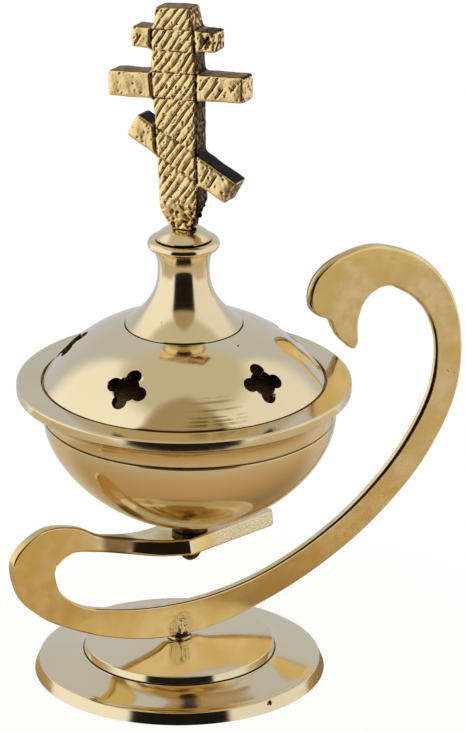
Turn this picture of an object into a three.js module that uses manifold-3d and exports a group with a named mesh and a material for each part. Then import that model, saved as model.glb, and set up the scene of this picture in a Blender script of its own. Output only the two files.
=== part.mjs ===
// Brass table censer: a turned foot, a flat cast handle that sweeps up to a swan's head, a round bowl
// held on the handle's curled arm, and a pierced lid with a flared neck and a three-bar cross.
// Sizes are in millimetres, Z is up, and the foot stands on Z = 0. The handle lies in the XZ plane.

import * as THREE from "three";
import { mergeVertices } from "three/addons/utils/BufferGeometryUtils.js";
import Module from "manifold-3d";

const wasm = await Module();
wasm.setup();

// Fits
const seat = 0.3;
const boreClearance = 0.3;
const lidClearance = 0.6;

// Smoothness
const wideSteps = 44;
const neckSteps = 30;
const smallSteps = 20;
const bellySteps = 10;
const curveSteps = 8;
const innerCurveSteps = 6;

// Where each turned stack stands along X: the castings were not put together quite in line
const footX = -0.45;
const bowlX = 2.7;
const lidX = 1.15;

// Foot: a stepped casting, hollow underneath
const footRadius = 35.9;
const footEdgeHeight = 3.0;
const footEdgeRun = 1.2;
const footStepRadius = 23.2;
const footStepRun = 0.3;
const footStepFoot = 5.1;
const footStepTop = 7.0;
const footCentreTop = 7.8;
const footCentreRadius = 5.0;
const footWall = 1.8;
const footContactWidth = 2.2;

// Handle: centreline stations in the XZ plane, from the neck down the sweep, round the curl and out
// along the arm: [x, z, height in the plane, thickness across it, width of the bevel on its corners]
const handleStations = [
  [59.1, 94.2, 10.8, 3.5, 0.9],
  [65.0, 92.0, 9.8, 3.3, 0.9],
  [70.6, 87.7, 9.2, 3.1, 0.8],
  [75.6, 80.8, 8.4, 2.8, 0.6],
  [78.2, 70.9, 7.8, 2.5, 0.4],
  [76.6, 57.5, 8.2, 2.3, 0.4],
  [68.2, 43.2, 8.3, 2.3, 0.4],
  [55.3, 31.2, 7.9, 2.3, 0.4],
  [40.8, 22.5, 7.6, 2.3, 0.4],
  [25.2, 16.4, 7.6, 2.3, 0.4],
  [9.8, 13.2, 8.4, 2.3, 0.4],
  [-4.9, 13.1, 8.6, 2.3, 0.4],
  [-19.4, 15.9, 7.4, 2.3, 0.4],
  [-30.4, 20.0, 6.3, 2.3, 0.4],
  [-37.6, 25.2, 7.8, 2.3, 0.4],
  [-41.4, 31.2, 10.6, 2.6, 0.4],
  [-41.9, 36.6, 12.6, 2.8, 0.4],
  [-37.8, 40.0, 10.8, 2.6, 0.4],
  [-30.9, 40.7, 6.7, 2.4, 0.4],
  [-24.2, 38.4, 4.3, 2.8, 0.4],
  [-16.0, 36.3, 4.0, 5.6, 0.4],
  [-8.5, 34.8, 3.9, 9.8, 0.4],
];
const handleStepsPerStation = 3;
const handleDrawnFor = { lipRadius: 41.0, lipTop: 76.1 };
const sweepLow = 15.0;
const sweepHigh = 60.0;
const bossTopRadius = 1.2;
const bossHeight = 2.0;

// Leaf: the flat end of the arm that carries the bowl, narrowing to its tip in two steps
const leafTop = 36.2;
const leafThickness = 3.8;
const leafWidestX = -0.8;
const leafHalfWidth = 6.8;
const leafTipX = 26.2;
const leafShoulderHalfWidth = 1.7;
const leafTipHalfWidth = 0.9;
const leafBevel = 0.4;

// Swan's head: outline of its flat face, from the nape round the crown and the bill to the throat,
// which the bevel grows past on every side
const headThickness = 3.6;
const headBevel = 0.6;
const headCurveSteps = 2;
const headCrown = [
  [60.0, 98.9], [54.5, 100.1], [49.1, 99.6], [43.4, 97.8], [39.1, 94.7], [37.4, 91.0], [37.3, 88.5],
];
const headCheek = [
  [38.0, 87.2], [39.7, 85.6], [42.7, 83.9], [44.1, 81.3],
];
const headBill = [
  [45.6, 78.7], [49.0, 75.1], [50.4, 74.5], [50.8, 75.6], [50.5, 81.2], [51.8, 86.2], [55.2, 89.1], [60.0, 89.6],
];

// Bowl: a rounded belly, a groove and a flared lip with a ledge for the lid
const spacerRadius = 4.4;
const spacerThickness = 1.3;
const bowlFlatRadius = 4.6;
const bellyStartRadius = 5.6;
const bowlBellyHeight = 28.4;
const bowlBellyRoundness = 1.65;
const bowlBellyFullness = 1.75;
const bowlFloor = 2.0;
const bowlWall = 1.8;
const bowlGrooveDepth = 0.4;
const bowlGrooveWidth = 0.7;
const lipWidth = 6.0;
const lipOverhang = 5.1;
const lipEdgeHeight = 2.2;
const lipFlareHeight = 7.4;
const lipFlare = [{ run: 0.14, rise: 0.5 }, { run: 0.48, rise: 0.82 }];
const lipRound = 0.5;
const ledgeWidth = 2.0;
const ledgeDepth = 1.9;

// Lid: a pierced dome with a skirt that drops inside the bowl's mouth
const lidRadius = 34.4;
const lidEdgeHeight = 1.7;
const domeRise = 15.5;
const domePower = 3.1;
const domeWall = 1.6;
const outerCrowding = 1.4;
const innerCrowding = 0.7;
const skirtDepth = 2.0;
const skirtWall = 0.9;
const ventCount = 5;
const ventInset = 6.2;
const ventFirstTurn = THREE.MathUtils.degToRad(-60.5);
const ventTwist = THREE.MathUtils.degToRad(-9);
const ventLobeRadius = 1.95;
const ventLobeOffset = 3.6;
const ventMiddleRadius = 3.4;
const ventCutterLength = 10.0;
const ventCutterSteps = 12;

// Neck: a hollow flared casting on the dome, with a round collar on top
const neckFlangeRadius = 14.3;
const neckThroatRadius = 6.3;
const neckThroatHeight = 13.7;
const neckFlarePower = 2.3;
const neckRiseSteps = 4;
const neckCollarRise = 5.2;
const neckCollarFlare = 1.5;
const collarTube = 1.3;
const collarSteps = 6;
const neckWall = 1.8;
const neckCapThickness = 4.2;

// Finial disc and cross. The cross's sizes are in its own plane, measured from the middle of its foot
const discRadius = 7.0;
const discEdge = 0.8;
const discTopRadius = 3.4;
const discRise = 1.7;
const crossThickness = 7.0;
const crossBevel = 0.45;
const crossTurn = THREE.MathUtils.degToRad(-53);
const crossLean = THREE.MathUtils.degToRad(4.8);
const crossBack = THREE.MathUtils.degToRad(6);
const crossFootHeight = 6.2;
const crossFootRadius = 2.9;
const crossShoulderRadius = 5.8;
const crossFootSides = 8;
const crossFootFlatness = 0.8;
const crossFootTrim = 0.8;
const beamOutline = [
  [-4.8, 4.1], [5.3, 4.1], [5.5, 18.0], [6.3, 38.0], [6.2, 48.9],
  [4.7, 54.4], [-3.2, 54.4], [-4.4, 48.9], [-5.5, 41.0], [-5.0, 18.0],
];
const upperArm = { x: 0.6, height: 46.5, halfLength: 10.9, width: 5.2, tilt: THREE.MathUtils.degToRad(-2.5) };
const mainArm = { x: 0.8, height: 35.0, halfLength: 17.6, width: 6.5, tilt: THREE.MathUtils.degToRad(-1.1) };
const footrest = { x: 1.4, height: 17.3, halfLength: 14.9, width: 6.2, tilt: THREE.MathUtils.degToRad(-33) };

// Fasteners
const studRadius = 1.5;
const studNutFlats = 5.5;
const studNutHeight = 2.4;
const studWasherRadius = 4.6;
const studDepthInCross = 6.0;
const studEnd = 1.0;
const studChamfer = 0.4;
const tenonRadius = 2.0;
const tenonNutFlats = 7.0;
const tenonNutHeight = 2.2;
const tenonWasherRadius = 5.0;
const tenonBossRadius = 3.3;
const washerThickness = 0.8;
const screwHeadRadius = 2.9;
const screwHeadHeight = 4.3;
const screwRimHeight = 0.8;
const screwDomeSteps = 4;

// Sizes and heights that follow from the ones above
const ledgeRadius = lidRadius + lidClearance;
const lipRadius = ledgeRadius + lipWidth;
const bowlBellyRadius = lipRadius - lipOverhang;
const bowlMouthRadius = ledgeRadius - ledgeWidth;
const ventRadiusFromAxis = lidRadius - ventInset;
const leafBottom = leafTop - leafThickness;
const bowlBottom = leafTop + seat + spacerThickness + seat;
const grooveZ = bowlBottom + bowlBellyHeight;
const lipEdgeBottom = grooveZ + lipFlareHeight;
const lipTop = lipEdgeBottom + lipEdgeHeight;
const ledgeZ = lipTop - ledgeDepth;
const lidBottom = ledgeZ + seat;
const lidEdgeTop = lidBottom + lidEdgeHeight;
const domeTop = lidEdgeTop + domeRise;
const neckBase = domeHeight(neckFlangeRadius - neckWall) + seat;
const throatZ = neckBase + neckThroatHeight;
const collarBottom = throatZ + neckCollarRise;
const collarTop = collarBottom + 2 * collarTube;
const discBottom = collarTop + seat;
const crossBottom = discBottom + discRise + discEdge + seat;
const studTop = crossBottom + studDepthInCross;
const footUnderside = footCentreTop - footWall;

// Height of the dome's outside at a distance from its axis
function domeHeight(radius) {
  return lidEdgeTop + domeRise * (1 - (radius / lidRadius) ** domePower);
}

// A closed, merged geometry whose faces point outwards
function closed(geometry) {
  const bare = geometry.index ? geometry.toNonIndexed() : geometry.clone();
  bare.deleteAttribute("normal");
  bare.deleteAttribute("uv");
  const merged = mergeVertices(bare, 1e-4);
  const point = merged.getAttribute("position");
  const corners = [0, 1, 2].map(() => new THREE.Vector3());
  const kept = [];
  let volume = 0;
  for (let i = 0; i < merged.index.count; i += 3) {
    const [a, b, c] = [0, 1, 2].map((k) => merged.index.getX(i + k));
    if (a === b || b === c || c === a) continue;
    [a, b, c].forEach((v, k) => corners[k].fromBufferAttribute(point, v));
    volume += corners[0].dot(corners[1].clone().cross(corners[2]));
    kept.push([a, b, c]);
  }
  merged.setIndex(kept.flatMap(([a, b, c]) => (volume < 0 ? [a, c, b] : [a, b, c])));
  return merged;
}

function toSolid(geometry) {
  const merged = closed(geometry);
  const vertProperties = new Float32Array(merged.getAttribute("position").array);
  const triVerts = new Uint32Array(merged.index.array);
  return new wasm.Manifold(new wasm.Mesh({ numProp: 3, vertProperties, triVerts }));
}

function toGeometry(solid) {
  const mesh = solid.getMesh();
  const geometry = new THREE.BufferGeometry();
  geometry.setAttribute("position", new THREE.BufferAttribute(mesh.vertProperties, 3));
  geometry.setIndex(new THREE.BufferAttribute(mesh.triVerts, 1));
  return geometry;
}

// Upright round cutter for a hole, with its middle at the given place
function boreCutter(radius, length, x, z) {
  const cutter = new THREE.CylinderGeometry(radius, radius, length, smallSteps);
  return toSolid(cutter.rotateX(Math.PI / 2).translate(x, 0, z));
}

// A turned piece: [radius, height] points round a closed section, or from axis to axis
function turned(points, steps) {
  const profile = points.map(([radius, height]) => new THREE.Vector2(radius, height));
  const onAxis = points[0][0] === 0 && points[points.length - 1][0] === 0;
  if (!onAxis) profile.push(profile[0].clone());
  return closed(new THREE.LatheGeometry(profile, steps).rotateX(Math.PI / 2));
}

// Points along a curve function of 0 to 1, both ends included
function sampled(curve, steps) {
  return Array.from({ length: steps + 1 }, (_, i) => curve(i / steps));
}

// Belly of the bowl between its floor and the groove, as a round, full curve
function belly(radius, bottom, top) {
  return (t) => {
    const angle = (t * Math.PI) / 2;
    const out = Math.sin(angle) ** (2 / bowlBellyRoundness);
    const up = 1 - Math.cos(angle) ** (2 / bowlBellyFullness);
    return [radius * out, bottom + (top - bottom) * up];
  };
}

function footGeometry() {
  const innerRadius = footRadius - footContactWidth;
  const bore = tenonRadius + boreClearance;
  return turned([
    [innerRadius, 0],
    [footRadius, 0],
    [footRadius - footEdgeRun, footEdgeHeight],
    [footStepRadius + footStepRun, footStepFoot],
    [footStepRadius, footStepTop],
    [footCentreRadius, footCentreTop],
    [bore, footCentreTop],
    [bore, footUnderside],
    [footCentreRadius, footUnderside],
    [footStepRadius - footWall, footStepTop - footWall],
    [footStepRadius - footWall, footStepFoot - footWall],
    [innerRadius - footEdgeRun / 2, footEdgeHeight - footWall],
  ], wideSteps);
}

// The sweep and the head keep their distance from the bowl's lip: [x, z, ...sizes] of a point of the handle
function besideLip([x, z, ...sizes]) {
  const share = x > 0 ? THREE.MathUtils.smoothstep(z, sweepLow, sweepHigh) : 0;
  const out = share * (lipRadius - handleDrawnFor.lipRadius);
  const up = share * (lipTop - handleDrawnFor.lipTop);
  return [x + out, z + up, ...sizes];
}

// Corners of the handle's section, an oblong with bevelled corners, in (in-plane, across) terms
function handleSection(height, thickness, bevel) {
  const [h, t] = [height / 2, thickness / 2];
  return [
    [h - bevel, t], [-h + bevel, t], [-h, t - bevel], [-h, -t + bevel],
    [-h + bevel, -t], [h - bevel, -t], [h, -t + bevel], [h, t - bevel],
  ];
}

// A closed skin over rings that all have the same number of points
function skinned(rings) {
  const count = rings[0].length;
  const position = rings.flat().flatMap((p) => [p.x, p.y, p.z]);
  const index = [];
  for (let r = 0; r + 1 < rings.length; r++) {
    for (let i = 0; i < count; i++) {
      const [a, b] = [r * count + i, r * count + ((i + 1) % count)];
      index.push(a, b, b + count, a, b + count, a + count);
    }
  }
  const last = (rings.length - 1) * count;
  for (let i = 1; i + 1 < count; i++) {
    index.push(0, i + 1, i);
    index.push(last, last + i, last + i + 1);
  }
  const geometry = new THREE.BufferGeometry();
  geometry.setAttribute("position", new THREE.Float32BufferAttribute(position, 3));
  geometry.setIndex(index);
  return geometry;
}

function ringAt(x, z, tangent, height, thickness, bevel) {
  const side = new THREE.Vector3(-tangent.z, 0, tangent.x);
  return handleSection(height, thickness, bevel).map(([a, b]) =>
    new THREE.Vector3(x, b, z).addScaledVector(side, a));
}

// The bar of the handle from the neck to the tip of the leaf
function handleBar() {
  const leafMiddle = leafTop - leafThickness / 2;
  const middle = new THREE.CatmullRomCurve3(
    [...handleStations.map(besideLip), [leafWidestX, leafMiddle]]
      .map(([x, z]) => new THREE.Vector3(x, 0, z)), false, "centripetal");
  const sizes = new THREE.CatmullRomCurve3(
    [...handleStations, [0, 0, leafThickness, 2 * leafHalfWidth, leafBevel]]
      .map(([, , height, thickness, bevel]) => new THREE.Vector3(height, thickness, bevel)));
  const east = new THREE.Vector3(1, 0, 0);
  const rings = sampled((t) => {
    const p = middle.getPoint(t);
    const size = sizes.getPoint(t);
    return ringAt(p.x, p.z, t < 1 ? middle.getTangent(t) : east, size.x, size.y, size.z);
  }, handleStations.length * handleStepsPerStation);
  const shoulderX = leafTipX - leafTipHalfWidth;
  rings.push(ringAt(shoulderX, leafMiddle, east, leafThickness, 2 * leafShoulderHalfWidth, leafBevel));
  rings.push(ringAt(leafTipX, leafMiddle, east, leafThickness, 2 * leafTipHalfWidth, leafBevel));
  return toSolid(skinned(rings));
}

function swanHead() {
  const shape = new THREE.Shape();
  const toPoints = (list) => list.map((point) => new THREE.Vector2(...besideLip(point)));
  shape.moveTo(...besideLip(headCrown[0]));
  shape.splineThru(toPoints(headCrown.slice(1)));
  shape.splineThru(toPoints(headCheek));
  shape.splineThru(toPoints(headBill));
  const flat = new THREE.ExtrudeGeometry(shape, {
    depth: headThickness - 2 * headBevel,
    bevelThickness: headBevel,
    bevelSize: headBevel,
    bevelSegments: 2,
    curveSegments: headCurveSteps,
  });
  flat.translate(0, 0, headBevel - headThickness / 2);
  return toSolid(flat.rotateX(Math.PI / 2));
}

// Boss under the bar and the tenon that goes down through the foot
function handleTenon() {
  const bossTop = handleStations.find(([x]) => x < 0)[1];
  const tenonBottom = footUnderside - 2 * seat - washerThickness - tenonNutHeight - studEnd - seat;
  return toSolid(turned([
    [0, tenonBottom],
    [tenonRadius, tenonBottom],
    [tenonRadius, footCentreTop + seat],
    [tenonBossRadius, footCentreTop + seat],
    [tenonBossRadius - seat, footCentreTop + bossHeight],
    [bossTopRadius, bossTop],
    [0, bossTop],
  ], smallSteps).translate(footX, 0, 0));
}

function handleGeometry() {
  const hole = boreCutter(studRadius + boreClearance, 2 * (leafThickness + seat), bowlX, leafTop);
  return toGeometry(handleBar().add(swanHead()).add(handleTenon()).subtract(hole));
}

// The bowl is turned about its own axis, then its lip is carried over to the lid's axis
function bowlGeometry() {
  const bore = studRadius + boreClearance;
  const outer = sampled(belly(bowlBellyRadius, bowlBottom, grooveZ), bellySteps)
    .filter(([radius]) => radius > bellyStartRadius);
  const innerRadius = bowlBellyRadius - bowlWall;
  const inner = sampled(belly(innerRadius, bowlBottom + bowlFloor, grooveZ), curveSteps)
    .filter(([radius]) => radius > bellyStartRadius).reverse();
  const halfGroove = bowlGrooveWidth / 2;
  const flareRun = lipRadius - bowlBellyRadius;
  const bowl = turned([
    [bore, bowlBottom],
    [bowlFlatRadius, bowlBottom],
    ...outer.slice(0, -1),
    [bowlBellyRadius, grooveZ - halfGroove],
    [bowlBellyRadius - bowlGrooveDepth, grooveZ],
    [bowlBellyRadius, grooveZ + halfGroove],
    ...lipFlare.map(({ run, rise }) => [bowlBellyRadius + run * flareRun, grooveZ + rise * lipFlareHeight]),
    [lipRadius - lipRound, lipEdgeBottom - lipRound / 2],
    [lipRadius, lipEdgeBottom + lipRound],
    [lipRadius - lipRound / 2, lipTop - lipRound],
    [lipRadius - 2 * lipRound, lipTop],
    [ledgeRadius, lipTop],
    [ledgeRadius, ledgeZ],
    [bowlMouthRadius, ledgeZ],
    [bowlMouthRadius, grooveZ + halfGroove],
    ...inner.slice(1),
    [bowlFlatRadius, bowlBottom + bowlFloor],
    [bore, bowlBottom + bowlFloor],
  ], wideSteps);
  const point = bowl.getAttribute("position");
  const [shiftStart, shiftEnd] = [grooveZ + halfGroove, lipEdgeBottom - 2 * lipRound];
  for (let i = 0; i < point.count; i++) {
    const share = THREE.MathUtils.smoothstep(point.getZ(i), shiftStart, shiftEnd);
    point.setX(i, point.getX(i) + share * (lidX - bowlX));
  }
  return bowl;
}

// Four-lobed cutter for one vent, along its own Y axis
function ventCutter() {
  const middle = new THREE.CylinderGeometry(
    ventMiddleRadius, ventMiddleRadius, ventCutterLength, ventCutterSteps);
  const lobe = new THREE.CylinderGeometry(ventLobeRadius, ventLobeRadius, ventCutterLength, ventCutterSteps);
  lobe.translate(ventLobeOffset, 0, 0);
  let cutter = toSolid(middle);
  for (const quarter of [0, 1, 2, 3]) {
    cutter = cutter.add(toSolid(lobe.clone().rotateY((quarter * Math.PI) / 2)));
  }
  return cutter;
}

function lidGeometry() {
  const bore = studRadius + boreClearance;
  const skirtOuter = bowlMouthRadius - lidClearance;
  const skirtInner = skirtOuter - skirtWall;
  const innerRise = domeTop - domeWall - lidEdgeTop;
  const outer = sampled((t) => {
    const radius = lidRadius + (bore - lidRadius) * t ** outerCrowding;
    return [radius, domeHeight(radius)];
  }, curveSteps);
  const inner = sampled((t) => {
    const radius = bore + (skirtInner - bore) * t ** innerCrowding;
    return [radius, lidEdgeTop + innerRise * (1 - (radius / skirtInner) ** domePower)];
  }, innerCurveSteps);
  const slope = (domePower * domeRise * ventRadiusFromAxis ** (domePower - 1)) / lidRadius ** domePower;
  const cutter = ventCutter();
  let lid = toSolid(turned([
    [skirtOuter, lidBottom],
    [lidRadius, lidBottom],
    ...outer,
    ...inner,
    [skirtInner, lidBottom - skirtDepth],
    [skirtOuter, lidBottom - skirtDepth],
  ], wideSteps));
  for (let i = 0; i < ventCount; i++) {
    const place = new THREE.Matrix4().makeRotationZ(ventFirstTurn + (i * 2 * Math.PI) / ventCount)
      .multiply(new THREE.Matrix4().makeTranslation(0, -ventRadiusFromAxis, domeHeight(ventRadiusFromAxis)))
      .multiply(new THREE.Matrix4().makeRotationX(Math.PI / 2 + Math.atan(slope)))
      .multiply(new THREE.Matrix4().makeRotationY(ventTwist));
    lid = lid.subtract(cutter.transform(place.toArray()));
  }
  return toGeometry(lid);
}

function neckGeometry() {
  const bore = studRadius + boreClearance;
  const flare = (base) => (t) =>
    [neckThroatRadius + base + (neckFlangeRadius - neckThroatRadius) * (1 - t) ** neckFlarePower,
      neckBase + neckThroatHeight * t];
  const rise = sampled((t) =>
    [neckThroatRadius + neckCollarFlare * t ** 2, throatZ + neckCollarRise * t], neckRiseSteps);
  const collarMiddle = neckThroatRadius + neckCollarFlare - seat;
  const collar = sampled((t) => {
    const angle = -Math.PI / 2 + Math.PI * t;
    return [collarMiddle + collarTube * Math.cos(angle), collarBottom + collarTube * (1 + Math.sin(angle))];
  }, collarSteps);
  const capBottom = collarTop - neckCapThickness;
  return turned([
    ...sampled(flare(0), curveSteps),
    ...rise.slice(1),
    ...collar.slice(1),
    [bore, collarTop],
    [bore, capBottom],
    [neckThroatRadius - neckWall, capBottom],
    ...sampled(flare(-neckWall), innerCurveSteps).reverse(),
  ], neckSteps);
}

function discGeometry() {
  const bore = studRadius + boreClearance;
  return turned([
    [bore, discBottom],
    [discRadius, discBottom],
    [discRadius, discBottom + discEdge],
    [discTopRadius, discBottom + discEdge + discRise],
    [bore, discBottom + discEdge + discRise],
  ], neckSteps);
}

// A flat slab of the cross with bevelled edges, from an outline in its own plane
function crossSlab(points) {
  const shape = new THREE.Shape(points.map(([x, y]) => new THREE.Vector2(x, y)));
  const slab = new THREE.ExtrudeGeometry(shape, {
    depth: crossThickness - 2 * crossBevel,
    bevelThickness: crossBevel,
    bevelSize: crossBevel,
    bevelOffset: -crossBevel,
    bevelSegments: 1,
  });
  return toSolid(slab.translate(0, 0, crossBevel - crossThickness / 2));
}

function crossBar({ x, height, halfLength, width, tilt }) {
  const bar = crossSlab([
    [-halfLength, -width / 2], [halfLength, -width / 2], [halfLength, width / 2], [-halfLength, width / 2],
  ]);
  const place = new THREE.Matrix4().makeTranslation(x, height, 0)
    .multiply(new THREE.Matrix4().makeRotationZ(tilt));
  return bar.transform(place.toArray());
}

// The cross is built in its own XY plane, stood up, leant, turned, cut level underneath and bored
function crossGeometry() {
  const foot = new THREE.CylinderGeometry(
    crossShoulderRadius, crossFootRadius, crossFootHeight + crossFootTrim, crossFootSides);
  foot.rotateY(Math.PI / crossFootSides).scale(1, 1, crossFootFlatness);
  foot.translate(0, (crossFootHeight - crossFootTrim) / 2, 0);
  let cross = crossSlab(beamOutline).add(toSolid(foot));
  for (const bar of [upperArm, mainArm, footrest]) cross = cross.add(crossBar(bar));
  const place = new THREE.Matrix4().makeTranslation(0, 0, crossBottom)
    .multiply(new THREE.Matrix4().makeRotationZ(crossTurn))
    .multiply(new THREE.Matrix4().makeRotationX(-crossBack))
    .multiply(new THREE.Matrix4().makeRotationY(-crossLean))
    .multiply(new THREE.Matrix4().makeRotationX(Math.PI / 2));
  const hole = boreCutter(studRadius + boreClearance, 2 * (studDepthInCross + seat), 0, crossBottom);
  return toGeometry(cross.transform(place.toArray()).trimByPlane([0, 0, 1], crossBottom).subtract(hole));
}

function washerGeometry(bottom, outerRadius, boltRadius, thickness) {
  const bore = boltRadius + boreClearance;
  return turned([
    [bore, bottom], [outerRadius, bottom], [outerRadius, bottom + thickness], [bore, bottom + thickness],
  ], smallSteps);
}

function nutGeometry(bottom, flats, height, boltRadius) {
  const corner = flats / Math.sqrt(3);
  const nut = new THREE.CylinderGeometry(corner, corner, height, 6);
  nut.rotateX(Math.PI / 2).translate(0, 0, bottom + height / 2);
  return toGeometry(toSolid(nut).subtract(boreCutter(boltRadius + boreClearance, 2 * height, 0, bottom + height / 2)));
}

function studGeometry(bottom, top) {
  return turned([
    [0, bottom],
    [studRadius - studChamfer, bottom],
    [studRadius, bottom + studChamfer],
    [studRadius, top - studChamfer],
    [studRadius - studChamfer, top],
    [0, top],
  ], smallSteps);
}

// Dome-headed screw that comes up through the leaf into the bowl
function bowlScrewGeometry(top) {
  const headTop = leafBottom - seat;
  const domeHeadHeight = screwHeadHeight - screwRimHeight;
  const dome = sampled((t) => {
    const angle = (t * Math.PI) / 2;
    return [screwHeadRadius * Math.sin(angle), headTop - screwRimHeight - domeHeadHeight * Math.cos(angle)];
  }, screwDomeSteps);
  return turned([
    ...dome,
    [screwHeadRadius, headTop],
    [studRadius, headTop],
    [studRadius, top],
    [0, top],
  ], smallSteps);
}

// Finishes seen on the pieces
const polishedBrass = { color: 0xc9a86a, roughness: 0.12, metalness: 1 };
const castBrass = { color: 0xb89a62, roughness: 0.42, metalness: 1 };
const barBrass = { color: 0xc0a36a, roughness: 0.22, metalness: 1 };
const darkSteel = { color: 0x3a302a, roughness: 0.45, metalness: 1 };

const censer = new THREE.Group();

function stackAt(x) {
  const stack = new THREE.Group();
  stack.position.x = x;
  censer.add(stack);
  return stack;
}

function add(group, name, geometry, finish) {
  const mesh = new THREE.Mesh(closed(geometry), new THREE.MeshStandardMaterial(finish));
  mesh.name = name;
  group.add(mesh);
}

const footStack = stackAt(footX);
const footWasherBottom = footUnderside - seat - washerThickness;
const footNutBottom = footWasherBottom - seat - tenonNutHeight;
add(footStack, "foot", footGeometry(), polishedBrass);
add(footStack, "foot_washer",
  washerGeometry(footWasherBottom, tenonWasherRadius, tenonRadius, washerThickness), darkSteel);
add(footStack, "foot_nut", nutGeometry(footNutBottom, tenonNutFlats, tenonNutHeight, tenonRadius), darkSteel);
add(censer, "handle", handleGeometry(), barBrass);

const bowlStack = stackAt(bowlX);
const bowlWasherBottom = bowlBottom + bowlFloor + seat;
const bowlNutBottom = bowlWasherBottom + washerThickness + seat;
add(bowlStack, "bowl_spacer",
  washerGeometry(leafTop + seat, spacerRadius, studRadius, spacerThickness), darkSteel);
add(bowlStack, "bowl", bowlGeometry(), polishedBrass);
add(bowlStack, "bowl_screw", bowlScrewGeometry(bowlNutBottom + studNutHeight + studEnd), darkSteel);
add(bowlStack, "bowl_washer",
  washerGeometry(bowlWasherBottom, studWasherRadius, studRadius, washerThickness), darkSteel);
add(bowlStack, "bowl_nut", nutGeometry(bowlNutBottom, studNutFlats, studNutHeight, studRadius), darkSteel);

const lidStack = stackAt(lidX);
const lidWasherBottom = domeTop - domeWall - seat - washerThickness;
const lidNutBottom = lidWasherBottom - seat - studNutHeight;
add(lidStack, "lid", lidGeometry(), polishedBrass);
add(lidStack, "neck", neckGeometry(), polishedBrass);
add(lidStack, "finial_disc", discGeometry(), polishedBrass);
add(lidStack, "cross_finial", crossGeometry(), castBrass);
add(lidStack, "lid_stud", studGeometry(lidNutBottom - studEnd, studTop), darkSteel);
add(lidStack, "lid_washer",
  washerGeometry(lidWasherBottom, studWasherRadius, studRadius, washerThickness), darkSteel);
add(lidStack, "lid_nut", nutGeometry(lidNutBottom, studNutFlats, studNutHeight, studRadius), darkSteel);

// The middle of the whole object's box, seen from above, goes to the origin
const box = new THREE.Box3().setFromObject(censer);
censer.position.x = -(box.min.x + box.max.x) / 2;
censer.position.y = -(box.min.y + box.max.y) / 2;

export default censer;
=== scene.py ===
# %% [markdown]
# # A brass table censer
# The object is small, about 17 cm tall, and nearly all of it is bright brass, so two things decide how
# it looks: clean turned and cast shapes, and what the metal mirrors. The measured model is loaded first
# as a fixed frame. Each piece that shows is then made again with a finer surface in the same place.

# %% Load the measured model
import math
import bpy
from mathutils import Matrix, Vector, noise


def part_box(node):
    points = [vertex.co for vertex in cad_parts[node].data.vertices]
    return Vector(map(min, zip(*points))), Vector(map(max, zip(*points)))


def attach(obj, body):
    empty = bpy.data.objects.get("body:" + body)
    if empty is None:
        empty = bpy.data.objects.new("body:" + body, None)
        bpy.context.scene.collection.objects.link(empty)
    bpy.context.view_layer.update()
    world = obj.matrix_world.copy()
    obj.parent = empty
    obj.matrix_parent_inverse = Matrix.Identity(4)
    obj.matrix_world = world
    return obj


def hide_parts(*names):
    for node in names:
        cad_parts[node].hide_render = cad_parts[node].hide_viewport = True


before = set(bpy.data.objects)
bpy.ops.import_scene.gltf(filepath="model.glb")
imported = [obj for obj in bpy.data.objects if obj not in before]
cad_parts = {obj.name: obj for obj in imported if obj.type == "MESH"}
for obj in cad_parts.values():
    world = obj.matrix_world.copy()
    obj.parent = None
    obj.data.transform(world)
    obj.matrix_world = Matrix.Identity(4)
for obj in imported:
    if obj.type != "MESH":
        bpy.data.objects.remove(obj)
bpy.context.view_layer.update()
MM = 0.001

# %% [markdown]
# ## The camera
# The photograph was taken with a long lens, a little from the left and from above. The camera looks at a
# point beside the foot's axis, so that the object sits in the picture as it does there.

# %% Find the axes of the turned pieces
FOOT_OFFSET = -0.45


def middle_x(node):
    """Where a node's middle lies along X, in mm."""
    low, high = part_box(node)
    return (low[0] + high[0]) / 2 / MM


foot_axis = middle_x("foot")
bowl_axis = middle_x("bowl_spacer")
lid_axis = middle_x("lid")
axis_shift = foot_axis - FOOT_OFFSET
print("axes of foot, bowl and lid, mm:", [round(axis, 2) for axis in (foot_axis, bowl_axis, lid_axis)])

# %% Set the camera
PICTURE_WIDTH, PICTURE_HEIGHT = 467, 732
PIXELS_PER_MM = 4.11
CAMERA_TURN = math.radians(-31)
CAMERA_RISE = math.radians(21.2)
CAMERA_DISTANCE = 1500 * MM
SENSOR = 36
CLIP_END = 20
MEASURED_HEIGHT = 90
MEASURED_PIXEL = (180.0, 326.6)

to_camera = Vector((math.sin(CAMERA_TURN), -math.cos(CAMERA_TURN), 0))
to_right = Vector((math.cos(CAMERA_TURN), math.sin(CAMERA_TURN), 0))
backwards = to_camera * math.cos(CAMERA_RISE) + Vector((0, 0, math.sin(CAMERA_RISE)))
up_in_picture = backwards.cross(to_right)
measured_point = Vector((axis_shift, 0, MEASURED_HEIGHT)) * MM

right_mm = (PICTURE_WIDTH / 2 - MEASURED_PIXEL[0]) / PIXELS_PER_MM
down_mm = (PICTURE_HEIGHT / 2 - MEASURED_PIXEL[1]) / PIXELS_PER_MM
aim = measured_point + to_right * right_mm * MM - up_in_picture * down_mm * MM
camera_place = measured_point + backwards * CAMERA_DISTANCE
camera_data = bpy.data.cameras.new("camera")
camera_data.sensor_width = SENSOR
camera_data.lens = PIXELS_PER_MM * CAMERA_DISTANCE / MM * SENSOR / PICTURE_HEIGHT
camera_data.clip_end = CLIP_END
camera = bpy.data.objects.new("camera", camera_data)
camera.location = camera_place
camera.rotation_mode = "QUATERNION"
camera.rotation_quaternion = (camera_place - aim).to_track_quat("Z", "Y")
scene = bpy.context.scene
scene.collection.objects.link(camera)
scene.camera = camera
print("lens, mm:", round(camera_data.lens, 1))

# %% [markdown]
# ## Helpers for colours and materials
# Colours are written as they look on a screen, as hex values, and turned to the linear values that the
# shaders use. One small function adds a node with its settings and its links.

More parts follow.
